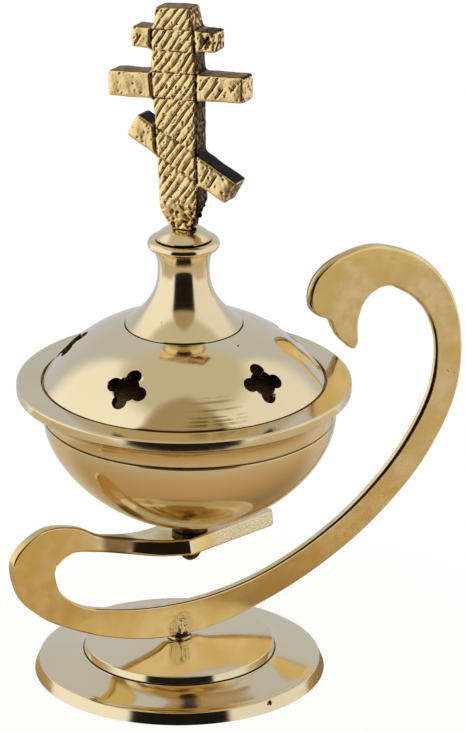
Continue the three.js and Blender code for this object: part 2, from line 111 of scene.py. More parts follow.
# %% Colour and node helpers
def linear(hex_colour):
    """The linear RGBA of an sRGB hex colour, by the formula of the sRGB standard."""
    parts = [int(hex_colour[i:i + 2], 16) / 255 for i in (1, 3, 5)]
    return tuple(((p + 0.055) / 1.055) ** 2.4 if p > 0.04045 else p / 12.92 for p in parts) + (1.0,)


def add(tree, kind, inputs=None, **settings):
    """A new shader node. Settings are its own properties, and an input is a value, a socket or a node."""
    node = tree.nodes.new("ShaderNode" + kind)
    for name, value in settings.items():
        setattr(node, name, value)
    for key, value in (inputs or {}).items():
        if isinstance(value, bpy.types.Node):
            value = value.outputs[0]
        if isinstance(value, bpy.types.NodeSocket):
            tree.links.new(value, node.inputs[key])
        else:
            node.inputs[key].default_value = value
    return node


print("white and mid grey turned linear:", linear("#ffffff")[0], round(linear("#808080")[0], 3))

# %% [markdown]
# ## The light tent
# Bright brass is photographed in a tent of white cloth, because it mirrors all that stands round it. Here
# the left wall is the brightest, the right wall is a little dimmer, the back wall and the ceiling are
# dimmer still, and the camera looks in through a dark opening in front. That opening gives the black
# patches on the neck, the lip and the foot, and the brownish patch over it the tan places beside them. The
# world is the tent, seen by direction only, and the camera itself sees plain white behind the object.

# %% Measure directions in the tent
scene.world = bpy.data.worlds.new("light_tent")
scene.world.use_nodes = True
tent = scene.world.node_tree
tent.nodes.clear()
direction = add(tent, "TexCoord").outputs["Generated"]
across = add(tent, "VectorMath", {0: direction, 1: to_right}, operation="DOT_PRODUCT").outputs["Value"]
along = add(tent, "VectorMath", {0: direction, 1: to_camera}, operation="DOT_PRODUCT").outputs["Value"]
height = add(tent, "SeparateXYZ", {0: direction}).outputs["Z"]
rise = add(tent, "Math", {0: height}, operation="ARCSINE")
off_middle = add(tent, "Math", {0: across}, operation="ABSOLUTE")
turn_from_camera = add(tent, "Math", {0: off_middle, 1: along}, operation="ARCTAN2")
print("nodes that measure a direction:", len(tent.nodes))

# %% Hang the cloth of the tent
EDGE = math.radians(3)
BACK_WALL_START = math.radians(134)
CEILING_START = math.radians(54)
WALL_SOFTNESS = 0.3
LEFT_WALL = (1.07, 1.10, 1.17, 1)
RIGHT_WALL = (0.92, 0.94, 0.99, 1)
BACK_WALL = (0.60, 0.65, 0.78, 1)
CEILING = (0.63, 0.61, 0.55, 1)

cloth = LEFT_WALL
for value, border, softness, tone in (
        (across, 0.0, WALL_SOFTNESS, RIGHT_WALL),
        (turn_from_camera, BACK_WALL_START, 3 * EDGE, BACK_WALL),
        (rise, CEILING_START, 2 * EDGE, CEILING)):
    share = add(tent, "MapRange", {0: value, 1: border - softness, 2: border + softness},
                interpolation_type="SMOOTHSTEP")
    cloth = add(tent, "Mix", {0: share, 6: cloth, 7: tone}, data_type="RGBA").outputs[2]
print("back wall and ceiling start at, degrees:",
      [round(math.degrees(angle)) for angle in (BACK_WALL_START, CEILING_START)])

# %% Cut the opening in front
OPENING_HALF_WIDTH = math.radians(40)
OPENING_BOTTOM = math.radians(-60)
OPENING_TOP = math.radians(42)
PATCH_RISE = math.radians(30)
PATCH_SOLID, PATCH_END = 0.85, 1.1
OVER_OPENING = (0.42, 0.34, 0.22, 1)
OPENING = (0.012, 0.010, 0.010, 1)
WHITE = (1.0, 1.0, 1.0, 1)

over_top = add(tent, "Math", {0: rise, 1: OPENING_TOP}, operation="SUBTRACT")
upwards = add(tent, "Math", {0: over_top, 1: PATCH_RISE}, operation="DIVIDE")
sideways = add(tent, "Math", {0: turn_from_camera, 1: OPENING_HALF_WIDTH + EDGE}, operation="DIVIDE")
from_patch = add(tent, "CombineXYZ", {0: sideways, 1: upwards})
from_patch = add(tent, "VectorMath", {0: from_patch}, operation="LENGTH").outputs["Value"]
patch = add(tent, "MapRange", {0: from_patch, 1: PATCH_SOLID, 2: PATCH_END, 3: 1.0, 4: 0.0},
            interpolation_type="SMOOTHSTEP")
opened = 1.0
for value, border, below, above in (
        (turn_from_camera, OPENING_HALF_WIDTH, 1.0, 0.0),
        (rise, OPENING_BOTTOM, 0.0, 1.0),
        (rise, OPENING_TOP, 1.0, 0.0)):
    side = add(tent, "MapRange", {0: value, 1: border - EDGE, 2: border + EDGE, 3: below, 4: above},
               interpolation_type="SMOOTHSTEP")
    opened = add(tent, "Math", {0: side, 1: opened}, operation="MULTIPLY")
seen_by_camera = add(tent, "LightPath").outputs["Is Camera Ray"]
for share, tone in ((patch, OVER_OPENING), (opened, OPENING), (seen_by_camera, WHITE)):
    cloth = add(tent, "Mix", {0: share, 6: cloth, 7: tone}, data_type="RGBA").outputs[2]
background = add(tent, "Background", {"Color": cloth, "Strength": 1.0})
add(tent, "OutputWorld", {"Surface": background})
print("nodes in the tent:", len(tent.nodes))

# %% [markdown]
# A large soft lamp hangs over the tent, and gives the faint shadow under the foot. It isn't mirrored, so it
# draws no bright square on the dome.

# %% Hang the soft lamp
LAMP_SIZE = 0.5
LAMP_POWER = 1.6
LAMP_PLACE = to_right * -0.25 + to_camera * 0.15 + Vector((0, 0, 0.7))

lamp_data = bpy.data.lights.new("soft_lamp", "AREA")
lamp_data.shape = "DISK"
lamp_data.size = LAMP_SIZE
lamp_data.energy = LAMP_POWER
lamp_data.color = linear("#fff6ea")[:3]
lamp = bpy.data.objects.new("soft_lamp", lamp_data)
lamp.location = LAMP_PLACE
lamp.rotation_mode = "QUATERNION"
lamp.rotation_quaternion = lamp.location.to_track_quat("Z", "Y")
lamp.visible_glossy = False
scene.collection.objects.link(lamp)
scene.view_settings.view_transform = "Standard"
print("lamp, mm from the middle:", [round(part / MM) for part in LAMP_PLACE])

# %% [markdown]
# ## The floor
# The floor of the tent is a sheet of pale warm paper, which ends in front at the tent's opening. The metal
# mirrors it, which makes the flat faces of the handle tan and draws dark lines along rounded edges that
# look past it. The paper is paler far from the object and behind it. For the camera it fades to white, and
# keeps only a trace of a shadow.

# %% Lay the floor
FLOOR_TO_SIDES = 320 * MM
FLOOR_TO_BACK = 98 * MM
FLOOR_TO_FRONT = 200 * MM

bpy.ops.object.select_all(action="DESELECT")
bpy.ops.mesh.primitive_plane_add(size=2, location=(0, 0, 0))
floor = bpy.context.object
floor.name = "paper_floor"
for corner in floor.data.vertices:
    depth = FLOOR_TO_FRONT if corner.co.y < 0 else -FLOOR_TO_BACK
    corner.co = to_right * corner.co.x * FLOOR_TO_SIDES + to_camera * depth
print("floor, mm:", round(2 * FLOOR_TO_SIDES / MM), "by", round((FLOOR_TO_FRONT + FLOOR_TO_BACK) / MM))

# %% Pale paper
FIBRES_PER_MM = 0.9
PALE_STARTS, PALE_FULL = 60 * MM, 170 * MM
BACK_FULL, BACK_STARTS = -40 * MM, 5 * MM
OFF_FOOT_STARTS, OFF_FOOT_FULL = 38 * MM, 85 * MM
SHADOW_FULL, SHADOW_ENDS = 50 * MM, 92 * MM
SHADOW_WHITENESS = 0.965

paper = bpy.data.materials.new("pale_paper")
paper.use_nodes = True
sheet = paper.node_tree
sheet.nodes.clear()
spot = add(sheet, "TexCoord").outputs["Object"]
fibres = add(sheet, "TexNoise", {"Vector": spot, "Scale": FIBRES_PER_MM / MM, "Detail": 3.0})
fibre_share = add(sheet, "MapRange", {0: fibres, 1: 0.3, 2: 0.7})
from_middle = add(sheet, "VectorMath", {0: spot}, operation="LENGTH").outputs["Value"]
behind = add(sheet, "VectorMath", {0: spot, 1: to_camera}, operation="DOT_PRODUCT").outputs["Value"]
shares = []
for value, start, end, low, high in (
        (from_middle, PALE_STARTS, PALE_FULL, 0.0, 1.0),
        (behind, BACK_FULL, BACK_STARTS, 1.0, 0.0),
        (from_middle, OFF_FOOT_STARTS, OFF_FOOT_FULL, 0.0, 1.0),
        (from_middle, SHADOW_FULL, SHADOW_ENDS, SHADOW_WHITENESS, 1.0)):
    shares.append(add(sheet, "MapRange", {0: value, 1: start, 2: end, 3: low, 4: high},
                      interpolation_type="SMOOTHSTEP"))
pale, at_back, off_foot, whiteness = shares
back_share = add(sheet, "Math", {0: at_back, 1: off_foot}, operation="MULTIPLY")
paper_tone = linear("#dbc49c")
for share, colour in ((fibre_share, "#e0caa5"), (pale, "#ddd3c2"), (back_share, "#ebe5da")):
    paper_tone = add(sheet, "Mix", {0: share, 6: paper_tone, 7: linear(colour)},
                     data_type="RGBA").outputs[2]
matt = add(sheet, "BsdfDiffuse", {"Color": paper_tone, "Roughness": 1.0})
white = add(sheet, "Emission", {"Color": WHITE, "Strength": 1.0})
camera_only = add(sheet, "LightPath").outputs["Is Camera Ray"]
white_share = add(sheet, "Math", {0: whiteness, 1: camera_only}, operation="MULTIPLY")
surface = add(sheet, "MixShader", {0: white_share, 1: matt, 2: white})
add(sheet, "OutputMaterial", {"Surface": surface})
floor.data.materials.append(paper)
print("nodes in the paper:", len(sheet.nodes))

# %% [markdown]
# ## Brass, three ways
# Polished yellow brass is a metal with a warm grey-gold reflection and a roughness near 0.1. The turned
# pieces keep fine rings from the lathe, which bend the reflections a little in rings round the axis. The
# handle was cast and filed flat, so its faces are softer and a little mottled. The cross was left as cast:
# grainy, dark in its cuts and rubbed bright on its high places. The marks that they share come first.

# %% What the metals share
def start_metal(name):
    """A new material, its empty tree, and the place on the object in metres."""
    material = bpy.data.materials.new(name)
    material.use_nodes = True
    tree = material.node_tree
    tree.nodes.clear()
    return material, tree, add(tree, "TexCoord").outputs["Object"]


def finish_metal(tree, tone, roughness, relief, depth_mm, strength=1.0):
    """Ends a tree as bare metal. Its relief is depth_mm deep where the height goes from 0 to 1."""
    bump = add(tree, "Bump", {"Height": relief, "Strength": strength, "Distance": depth_mm * MM})
    metal = add(tree, "BsdfPrincipled", {"Metallic": 1.0, "Base Color": tone, "Roughness": roughness,
                                         "Normal": bump})
    add(tree, "OutputMaterial", {"Surface": metal})


# %% Marks on the metals
def specks(tree, place, spacing_mm, size, rarity):
    """Small scattered dots, 1 on a dot and 0 off it: a few cells of a Voronoi pattern."""
    cells = add(tree, "TexVoronoi", {"Vector": place, "Scale": 1 / (spacing_mm * MM)})
    dot = add(tree, "MapRange", {0: cells.outputs["Distance"], 1: size * 0.6, 2: size, 3: 1.0, 4: 0.0},
              interpolation_type="SMOOTHSTEP")
    draw = add(tree, "SeparateColor", {0: cells.outputs["Color"]})
    chosen = add(tree, "MapRange", {0: draw, 1: rarity, 2: rarity + 0.02}, interpolation_type="SMOOTHSTEP")
    return add(tree, "Math", {0: dot, 1: chosen}, operation="MULTIPLY")


def near_point(tree, place, point_mm, full_mm, none_mm):
    """1 within full_mm of a point, fading to 0 at none_mm."""
    point = tuple(part * MM for part in point_mm)
    away = add(tree, "VectorMath", {0: place, 1: point}, operation="DISTANCE").outputs["Value"]
    return add(tree, "MapRange", {0: away, 1: full_mm * MM, 2: none_mm * MM, 3: 1.0, 4: 0.0},
               interpolation_type="SMOOTHSTEP")


def on_surface(axis_mm, right_mm, front_mm, height_mm):
    """A point in mm, given by its way to the right and to the front as the camera sees it."""
    point = to_right * right_mm + to_camera * front_mm
    return (axis_mm + point.x, point.y, height_mm)


# %% [markdown]
# On a turned piece the marks follow the lathe. The tool leaves rings about 0.4 mm apart on slower waves of
# 2 to 3 mm, the turned corners get thin lines of painted shade, and the polishing leaves wide shallow
# unevenness that bends the reflections. A flaw is a small ragged pit, and a scratched place has broken
# lines along the rings.

# %% Brass turned on a lathe
RAGGED = 2.2
# Near black: the ragged pits, and the painted shade in the turned corners.
PIT_DIRT_AND_CORNER_SHADE = "#1a120b"


def scratches(tree, place, rings, patch):
    """Broken lines along the rings inside one patch, given as its middle, solid and outer radius."""
    both = near_point(tree, place, *patch)
    for where, per_mm, detail, low, high in ((rings, 1.8, 1.0, 0.50, 0.60), (place, 0.17, 3.0, 0.42, 0.56)):
        lines = add(tree, "TexNoise", {"Vector": where, "Scale": per_mm / MM, "Detail": detail})
        share = add(tree, "MapRange", {0: lines, 1: low, 2: high}, interpolation_type="SMOOTHSTEP")
        both = add(tree, "Math", {0: share, 1: both}, operation="MULTIPLY")
    return both


def turned_brass(name, axis_mm, light, dark, roughness, ring_depth, uneven_depth,
                 corners=(), flaws=(), scratched=None):
    """Brass turned about an upright axis: its rings depend only on height and distance from the axis.

    Corners are (radius, height, half width) of lines of painted shade, and flaws are (point, size), all in
    mm.
    """
    material, tree, place = start_metal(name)
    centred = add(tree, "Mapping", {"Vector": place, "Location": (-axis_mm * MM, 0, 0)})
    parts = add(tree, "SeparateXYZ", {0: centred}).outputs
    flat = add(tree, "CombineXYZ", {0: parts[0], 1: parts[1]})
    radius = add(tree, "VectorMath", {0: flat}, operation="LENGTH").outputs["Value"]
    rings = add(tree, "CombineXYZ", {0: radius, 2: parts[2]})
    fine, broad, cloudy, uneven, torn = [
        add(tree, "TexNoise", {"Vector": where, "Scale": per_mm / MM, "Detail": detail})
        for where, per_mm, detail in (
            (rings, 2.6, 2.0), (rings, 0.42, 3.0),
            (place, 0.06, 5.0), (place, 0.095, 2.0), (place, 0.9, 2.0))]
    ragged = add(tree, "VectorMath", {0: torn.outputs["Color"], 1: (RAGGED * MM,) * 3, 2: place},
                 operation="MULTIPLY_ADD")

    marks = [(cloudy, light, 0.0), (specks(tree, place, 5.0, 0.05, 0.94), "#2e2215", 0.4)]
    # Each corner gets a thin dark line of painted shade.
    for corner_radius, corner_height, half_width in corners:
        corner = (corner_radius, 0, corner_height)
        marks.append((near_point(tree, rings, corner, half_width / 2, half_width), PIT_DIRT_AND_CORNER_SHADE, 0.5))
    for point, size in flaws:
        moved = tuple(part + RAGGED / 2 for part in point)
        marks.append((near_point(tree, ragged, moved, size * 0.7, size), PIT_DIRT_AND_CORNER_SHADE, 0.5))
    if scratched:
        marks.append((scratches(tree, place, rings, scratched), "#a8925c", 0.0))

    tone = linear(dark)
    average = add(tree, "Math", {0: fine, 1: cloudy}, operation="ADD")
    haze = add(tree, "MapRange", {0: average, 1: 0.6, 2: 1.4, 3: roughness * 0.7, 4: roughness * 1.4},
               interpolation_type="SMOOTHSTEP")
    for share, colour, rougher in marks:
        tone = add(tree, "Mix", {0: share, 6: tone, 7: linear(colour)}, data_type="RGBA").outputs[2]
        haze = add(tree, "Math", {0: share, 1: rougher, 2: haze}, operation="MULTIPLY_ADD")
    relief = 0.0
    for wave, depth in ((fine, 0.25 * ring_depth), (broad, ring_depth), (uneven, uneven_depth)):
        relief = add(tree, "Math", {0: wave, 1: depth, 2: relief}, operation="MULTIPLY_ADD")
    finish_metal(tree, tone, haze, relief, 1.0)
    return material


# %% The brass of each turned piece
POLISHED, POLISHED_DARK = "#ecdab2", "#e6d2a6"
BOWL_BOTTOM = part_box("bowl")[0][2] / MM
GROOVE_HEIGHT = BOWL_BOTTOM + 28.8

# The corners listed here get lines of painted shade; the flaws are real pits.
foot_brass = turned_brass(
    "turned_brass_foot", foot_axis, POLISHED, POLISHED_DARK, 0.10, 0.005, 0.05,
    corners=[(23.7, 5.15, 0.3)], flaws=[(on_surface(foot_axis, 22.4, 27.5, 1.9), 0.9)])
bowl_brass = turned_brass(
    "turned_brass_bowl", bowl_axis, "#e9d7ae", "#e0cb9c", 0.12, 0.005, 0.07,
    corners=[(35.6, GROOVE_HEIGHT, 0.26)])
lid_brass = turned_brass(
    "turned_brass_lid", lid_axis, POLISHED, POLISHED_DARK, 0.09, 0.006, 0.12,
    corners=[(14.4, 90.75, 0.25)], flaws=[(on_surface(lid_axis, 13.1, 12.4, 89.7), 0.45)],
    scratched=(on_surface(lid_axis, 8.0, 33.0, 77.5), 4.0, 9.5))
neck_brass = turned_brass("turned_brass_neck", lid_axis, POLISHED, "#e3cd9f", 0.12, 0.016, 0.04)
inner_brass = turned_brass("turned_brass_unpolished", lid_axis, "#b4935c", "#7d6038", 0.30, 0.02, 0.05)
for brass in (foot_brass, bowl_brass, lid_brass, neck_brass, inner_brass):
    print(brass.name, len(brass.node_tree.nodes), "nodes")

# %% [markdown]
# The handle's faces were filed, so they are even and soft, with a faint mottle of 3 mm on a drift of 18 mm.
# Where it was brazed and where the file didn't reach it is sandy and pitted. Four places have their own
# look: the braze over the foot, the leaf, the arm beside it, which has a painted dark reflection in one
# place and a smoother, bright finish in another, and a pitted place on the sweep. Some narrow sides get
# painted shade.

# %% Filed brass of the handle
BRAZE = ((foot_axis, 0, 10.6), 3.0, 4.6)
LEAF_SIDE = ((bowl_axis + 15.0, -4.5, 34.3), 9.5, 13.5)
BRIGHT_ARM = ((bowl_axis - 9.0, -4.5, 35.0), 8.0, 12.0)
# A painted dark reflection on the arm's front face.
ARM_DARK_REFLECTION = ((axis_shift - 18.7, -2.0, 38.6), 3.0, 6.0)
PITTED_SWEEP = ((60.4, -1.2, 61.5), 1.6, 3.2)

filed_brass, tree, place = start_metal("filed_brass")
mottle, drift, sand = [
    add(tree, "TexNoise", {"Vector": place, "Scale": per_mm / MM, "Detail": detail})
    for per_mm, detail in ((0.3, 5.0), (0.055, 3.0), (1.9, 3.0))]
brazed, leaf_side, bright_arm, arm_dark_reflection, pitted = [
    near_point(tree, place, *where) for where in (BRAZE, LEAF_SIDE, BRIGHT_ARM, ARM_DARK_REFLECTION, PITTED_SWEEP)]
rough = add(tree, "Math", {0: brazed, 1: leaf_side}, operation="MAXIMUM")
pit_places = add(tree, "Math", {0: brazed, 1: pitted}, operation="MAXIMUM")
cluster = add(tree, "Math", {0: specks(tree, place, 1.0, 0.22, 0.45), 1: pit_places}, operation="MULTIPLY")
pits = add(tree, "Math", {0: specks(tree, place, 2.6, 0.09, 0.965), 1: cluster}, operation="MAXIMUM")
# Most of the painted dark reflection shows.
dark_reflection_share = add(tree, "Math", {0: arm_dark_reflection, 1: 0.85}, operation="MULTIPLY")
# Painted shade on the narrow sides, from each face's share.
edge_shade = add(tree, "Attribute", attribute_name="painted_edge_shade").outputs["Fac"]
average = add(tree, "Math", {0: mottle, 1: drift}, operation="ADD")
mottled, drifted, haze = [
    add(tree, "MapRange", {0: value, 1: low, 2: high, 3: least, 4: most}, interpolation_type="SMOOTHSTEP")
    for value, low, high, least, most in (
        (mottle, 0.35, 0.65, 0.0, 1.0), (drift, 0.40, 0.62, 0.0, 1.0), (average, 0.76, 1.24, 0.13, 0.25))]
tone = linear("#e4cd96")
# Mottle, drift, leaf side and pits are the brass's own tone; the arm's patch is a painted dark reflection
# and the last is painted shade.
for share, colour in ((mottled, "#f1dcab"), (drifted, "#e2c681"), (leaf_side, "#efe0ba"),
                      (dark_reflection_share, "#6b5230"), (pits, "#4a3719"), (edge_shade, "#3a2a17")):
    tone = add(tree, "Mix", {0: share, 6: tone, 7: linear(colour)}, data_type="RGBA").outputs[2]
smoother = add(tree, "Math", {0: bright_arm, 1: -0.65, 2: 1.0}, operation="MULTIPLY_ADD")
haze = add(tree, "Math", {0: haze, 1: smoother}, operation="MULTIPLY")
haze = add(tree, "Math", {0: rough, 1: 0.16, 2: haze}, operation="MULTIPLY_ADD")
rough_sand = add(tree, "Math", {0: rough, 1: sand}, operation="MULTIPLY")
relief = 0.0
for wave, depth in ((drift, 0.22), (mottle, 0.018), (rough_sand, 0.22)):
    relief = add(tree, "Math", {0: wave, 1: depth, 2: relief}, operation="MULTIPLY_ADD")
finish_metal(tree, tone, haze, relief, 1.0)
print("filed brass:", len(tree.nodes), "nodes")

# %% [markdown]
# The cross wasn't filed at all. Its grain is that of the sand it was cast in, about 0.7 mm on lumps of
# 2.4 mm. Each point carries how dark it is, from its depth and from painted shade on the sides that face
# right and up, and the darker it is, the darker and duller the brass.

# %% Brass left as cast, for the cross
cast_brass, tree, place = start_metal("brass_as_cast")
# This darkness holds the cut depth and, on the sides that face right and up, painted shade.
cut = add(tree, "Attribute", attribute_name="darkness_of_cuts_and_shade").outputs["Fac"]
grain, lumps = [
    add(tree, "TexNoise", {"Vector": place, "Scale": per_mm / MM, "Detail": detail})
    for per_mm, detail in ((1.5, 5.0), (0.42, 4.0))]
stain_and_shade = add(tree, "Math", {0: lumps, 1: 0.2, 2: cut}, operation="MULTIPLY_ADD")
tarnish_and_shade, blackening_and_shade, haze = [
    add(tree, "MapRange", {0: stain_and_shade, 1: low, 2: high, 3: least, 4: most}, interpolation_type="SMOOTHSTEP")
    for low, high, least, most in ((0.42, 0.62, 0.0, 1.0), (0.62, 0.95, 0.0, 1.0), (0.2, 0.8, 0.30, 0.62))]
tone = linear("#f7d48c")
# The tarnish in the cuts is the brass's own; where it comes from the sides, it is painted shade.
for share, colour in ((grain, "#ffe3a6"), (tarnish_and_shade, "#8a6a3c"), (blackening_and_shade, "#1d140c")):
    tone = add(tree, "Mix", {0: share, 6: tone, 7: linear(colour)}, data_type="RGBA").outputs[2]
relief = add(tree, "Math", {0: grain, 1: 0.7, 2: lumps}, operation="MULTIPLY_ADD")
finish_metal(tree, tone, haze, relief, 0.04)
print("cast brass:", len(tree.nodes), "nodes")

# %% [markdown]
# The screws, nuts and washers are steel, darkened with age. They are small and sit in shade, so a plain
# dark metal with a few worn, brighter places is enough.

# %% Darkened steel
dark_steel, tree, place = start_metal("darkened_steel")
wear = add(tree, "TexNoise", {"Vector": place, "Scale": 0.7 / MM, "Detail": 4.0})
tone = linear("#3b2c22")
for low, high, colour in ((0.35, 0.6, "#5a4636"), (0.6, 0.75, "#8b7460")):
    worn = add(tree, "MapRange", {0: wear, 1: low, 2: high})
    tone = add(tree, "Mix", {0: worn, 6: tone, 7: linear(colour)}, data_type="RGBA").outputs[2]
haze = add(tree, "MapRange", {0: wear, 1: 0.3, 2: 0.7, 3: 0.24, 4: 0.45}, interpolation_type="SMOOTHSTEP")
finish_metal(tree, tone, haze, wear, 0.02, strength=0.6)
FASTENERS = ("foot_washer", "foot_nut", "bowl_spacer", "bowl_washer", "bowl_nut",
             "lid_stud", "lid_washer", "lid_nut")
for fastener in FASTENERS:
    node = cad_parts[fastener]
    node.data.materials.clear()
    node.data.materials.append(dark_steel)
print("darkened steel on", len(FASTENERS), "fasteners")

# %% [markdown]
# ## Turning a piece
# A turner cuts one outline into a spinning blank. Here one vertex is drawn out along that outline, from
# point to point, and the outline is spun once round the axis. Small rounds on the sharp corners come from a
# Bevel modifier, because a real edge always catches a thin line of light.

# %% Helpers that finish a mesh
def select_only(piece):
    """Makes a piece the only selected and active one."""
    bpy.ops.object.select_all(action="DESELECT")
    bpy.context.view_layer.objects.active = piece
    piece.select_set(True)


def shade(piece, angle=40):
    """Smooth shading up to an angle, with flat places kept flat beside their rounded edges."""
    bpy.ops.object.shade_smooth_by_angle(angle=math.radians(angle))
    weighted = piece.modifiers.new("flat_faces_first", "WEIGHTED_NORMAL")
    weighted.keep_sharp = True
    bpy.ops.object.modifier_apply(modifier="flat_faces_first")


def mend(closer_mm=0.005):
    """Merges points of the active piece that lie this close, and removes faces without area."""
    bpy.ops.object.mode_set(mode="EDIT")
    bpy.ops.mesh.select_all(action="SELECT")
    bpy.ops.mesh.remove_doubles(threshold=closer_mm * MM)
    bpy.ops.mesh.dissolve_degenerate(threshold=closer_mm * MM)
    bpy.ops.object.mode_set(mode="OBJECT")


def finish_edges(piece, width_mm, angle=30, segments=3):
    """Rounds the edges that are sharper than an angle by a fixed width."""
    bevel = piece.modifiers.new("rounded_edges", "BEVEL")
    bevel.width = width_mm * MM
    bevel.segments = segments
    bevel.limit_method = "ANGLE"
    bevel.angle_limit = math.radians(angle)
    bpy.ops.object.modifier_apply(modifier="rounded_edges")
    mend()
    shade(piece)


# %% A helper that turns an outline
TURN_STEPS = 192
TURN_SEAM = 0.002 * MM


def draw_out(name, points):
    """A wire in the XZ plane through (x, z) points in mm, left selected in edit mode."""
    bpy.ops.object.select_all(action="DESELECT")
    bpy.ops.mesh.primitive_plane_add(size=MM, location=(0, 0, 0))
    wire = bpy.context.object
    wire.name = name
    wire.data.name = name
    bpy.ops.object.mode_set(mode="EDIT")
    bpy.ops.mesh.select_all(action="SELECT")
    bpy.ops.mesh.merge(type="CENTER")
    bpy.ops.transform.translate(value=(points[0][0] * MM, 0, points[0][1] * MM))
    for (x0, z0), (x1, z1) in zip(points, points[1:]):
        bpy.ops.mesh.extrude_region_move(
            TRANSFORM_OT_translate={"value": ((x1 - x0) * MM, 0, (z1 - z0) * MM)})
    bpy.ops.mesh.select_all(action="SELECT")
    return wire


def turn(name, outline, axis_mm, edge_mm=0.15, closed=True, steps=TURN_STEPS):
    """Turns an outline of (radius, height) points in mm about an upright axis.

    The outline is closed first, unless both its ends lie on the axis.
    """
    points = [(axis_mm + radius, height) for radius, height in outline]
    if closed:
        points.append(points[0])
    piece = draw_out(name, points)
    bpy.ops.mesh.spin(steps=steps, angle=2 * math.pi, center=(axis_mm * MM, 0, 0), axis=(0, 0, 1))
    bpy.ops.mesh.select_all(action="SELECT")
    bpy.ops.mesh.remove_doubles(threshold=TURN_SEAM)
    bpy.ops.mesh.normals_make_consistent(inside=False)
    bpy.ops.object.mode_set(mode="OBJECT")
    if edge_mm:
        finish_edges(piece, edge_mm)
    else:
        shade(piece)
    return piece


def along_curve(curve, steps):
    """Points of a curve of 0 to 1, both ends included."""
    return [curve(i / steps) for i in range(steps + 1)]


# %% A helper that hands a piece in
def hand_in(piece, body, node):
    """Lets a finished piece ride on its body in place of its measured node."""
    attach(piece, body)
    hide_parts(node)
    print(piece.name, len(piece.data.polygons), "faces")


# %% [markdown]
# ## The foot
# The foot is a shallow casting with a raised middle, turned bright on top and hollow underneath. Its
# outer edge leans in a little. The outer plate is a shallow hollow curve, with a fine line cut near its
# edge, and the inner plate is level, so it mirrors the handle's bar almost to its rim. The tenon of the
# handle goes through a bore in its middle.

# %% Turn the foot
FOOT_RADIUS = 35.9
FOOT_STEP_RADIUS = 23.2
FOOT_CENTRE_TOP = 7.8
FOOT_WALL = 1.8
TENON_BORE = 2.3
FOOT_EDGE_TOP = 3.0
FOOT_STEP_TOP = 7.1
PLATE_RADIUS = 33.2
PLATE_TOP = 5.1
RISE_RADIUS = 5.0


def outer_plate(t):
    """The outer plate, rising gently from its edge and faster close to the step."""
    run = PLATE_RADIUS - FOOT_STEP_RADIUS - 0.5
    return (PLATE_RADIUS - run * t, FOOT_EDGE_TOP + 0.15 + 1.1 * t + 0.9 * t ** 5)


def inner_plate(t):
    """The inner plate, level at first, with a low rise round the tenon."""
    start, end = FOOT_STEP_RADIUS - 0.2, RISE_RADIUS
    return (start - (start - end) * t, FOOT_STEP_TOP + (FOOT_CENTRE_TOP - FOOT_STEP_TOP) * t ** 7)


foot_outline = (
    [(FOOT_RADIUS - 2.2, 0.0), (FOOT_RADIUS, 0.0), (FOOT_RADIUS - 1.1, FOOT_EDGE_TOP - 0.35),
     (FOOT_RADIUS - 1.5, FOOT_EDGE_TOP - 0.05),
     (PLATE_RADIUS + 0.2, FOOT_EDGE_TOP + 0.13), (PLATE_RADIUS + 0.1, FOOT_EDGE_TOP + 0.08)]
    + along_curve(outer_plate, 24) + [(FOOT_STEP_RADIUS, FOOT_STEP_TOP - 0.15)]
    + along_curve(inner_plate, 24)
    + [(TENON_BORE, FOOT_CENTRE_TOP), (TENON_BORE, FOOT_CENTRE_TOP - FOOT_WALL),
       (RISE_RADIUS, FOOT_CENTRE_TOP - FOOT_WALL),
       (FOOT_STEP_RADIUS - FOOT_WALL, FOOT_STEP_TOP - FOOT_WALL),
       (FOOT_STEP_RADIUS - FOOT_WALL, PLATE_TOP - FOOT_WALL),
       (FOOT_RADIUS - 2.8, FOOT_EDGE_TOP - FOOT_WALL)]
)
foot = turn("foot_turned", foot_outline, foot_axis, edge_mm=0.12)
foot.data.materials.append(foot_brass)
hand_in(foot, "censer_base", "foot")

# %% [markdown]
# ## The bowl
# The belly is a full round curve, with a fine groove cut where the lip begins to flare. The lip has a flat
# top for the hand and a ledge inside for the lid. On this casting the belly sits a little to one side of
# the lip, so the lip's points are carried over sideways after turning.

# %% Curves of the bowl
BELLY_RADIUS = 35.9
BOWL_WALL = 1.8
BOWL_FLOOR = BOWL_BOTTOM + 2.0
SCREW_BORE = 1.8
SEAT_RADIUS = 4.6
SEAT_END = 4.9
LIP_RADIUS = 41.0
LIP_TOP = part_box("bowl")[1][2] / MM
LIP_EDGE_BOTTOM = LIP_TOP - 1.9
LEDGE_RADIUS = 35.0
MOUTH_RADIUS = 33.0
FULLNESS_OUT, FULLNESS_UP = 1.65, 1.75


def belly(radius, bottom, top):
    """The belly's curve from its middle to the groove. Two fullnesses of 2 would make an ellipse."""
    def point(t):
        angle = t * math.pi / 2
        out = math.sin(angle) ** (2 / FULLNESS_OUT)
        up = 1 - max(math.cos(angle), 0) ** (2 / FULLNESS_UP)
        return (radius * out, bottom + (top - bottom) * up)
    return point


def flare(t):
    """The flare of the lip above the groove: nearly upright at first, then leaning out."""
    out = 0.10 * t + 0.90 * t ** 3.4
    return (BELLY_RADIUS + (LIP_RADIUS - BELLY_RADIUS) * out, GROOVE_HEIGHT + 0.25 + 6.55 * t)


outer_curve = along_curve(belly(BELLY_RADIUS, BOWL_BOTTOM, GROOVE_HEIGHT - 0.3), 64)
inner_curve = along_curve(belly(BELLY_RADIUS - BOWL_WALL, BOWL_FLOOR, GROOVE_HEIGHT), 48)
outer_belly = [point for point in outer_curve if point[0] > SEAT_END]
inner_belly = [point for point in inner_curve if point[0] > SEAT_END]
print("points on the belly, outside and inside:", len(outer_belly), len(inner_belly))

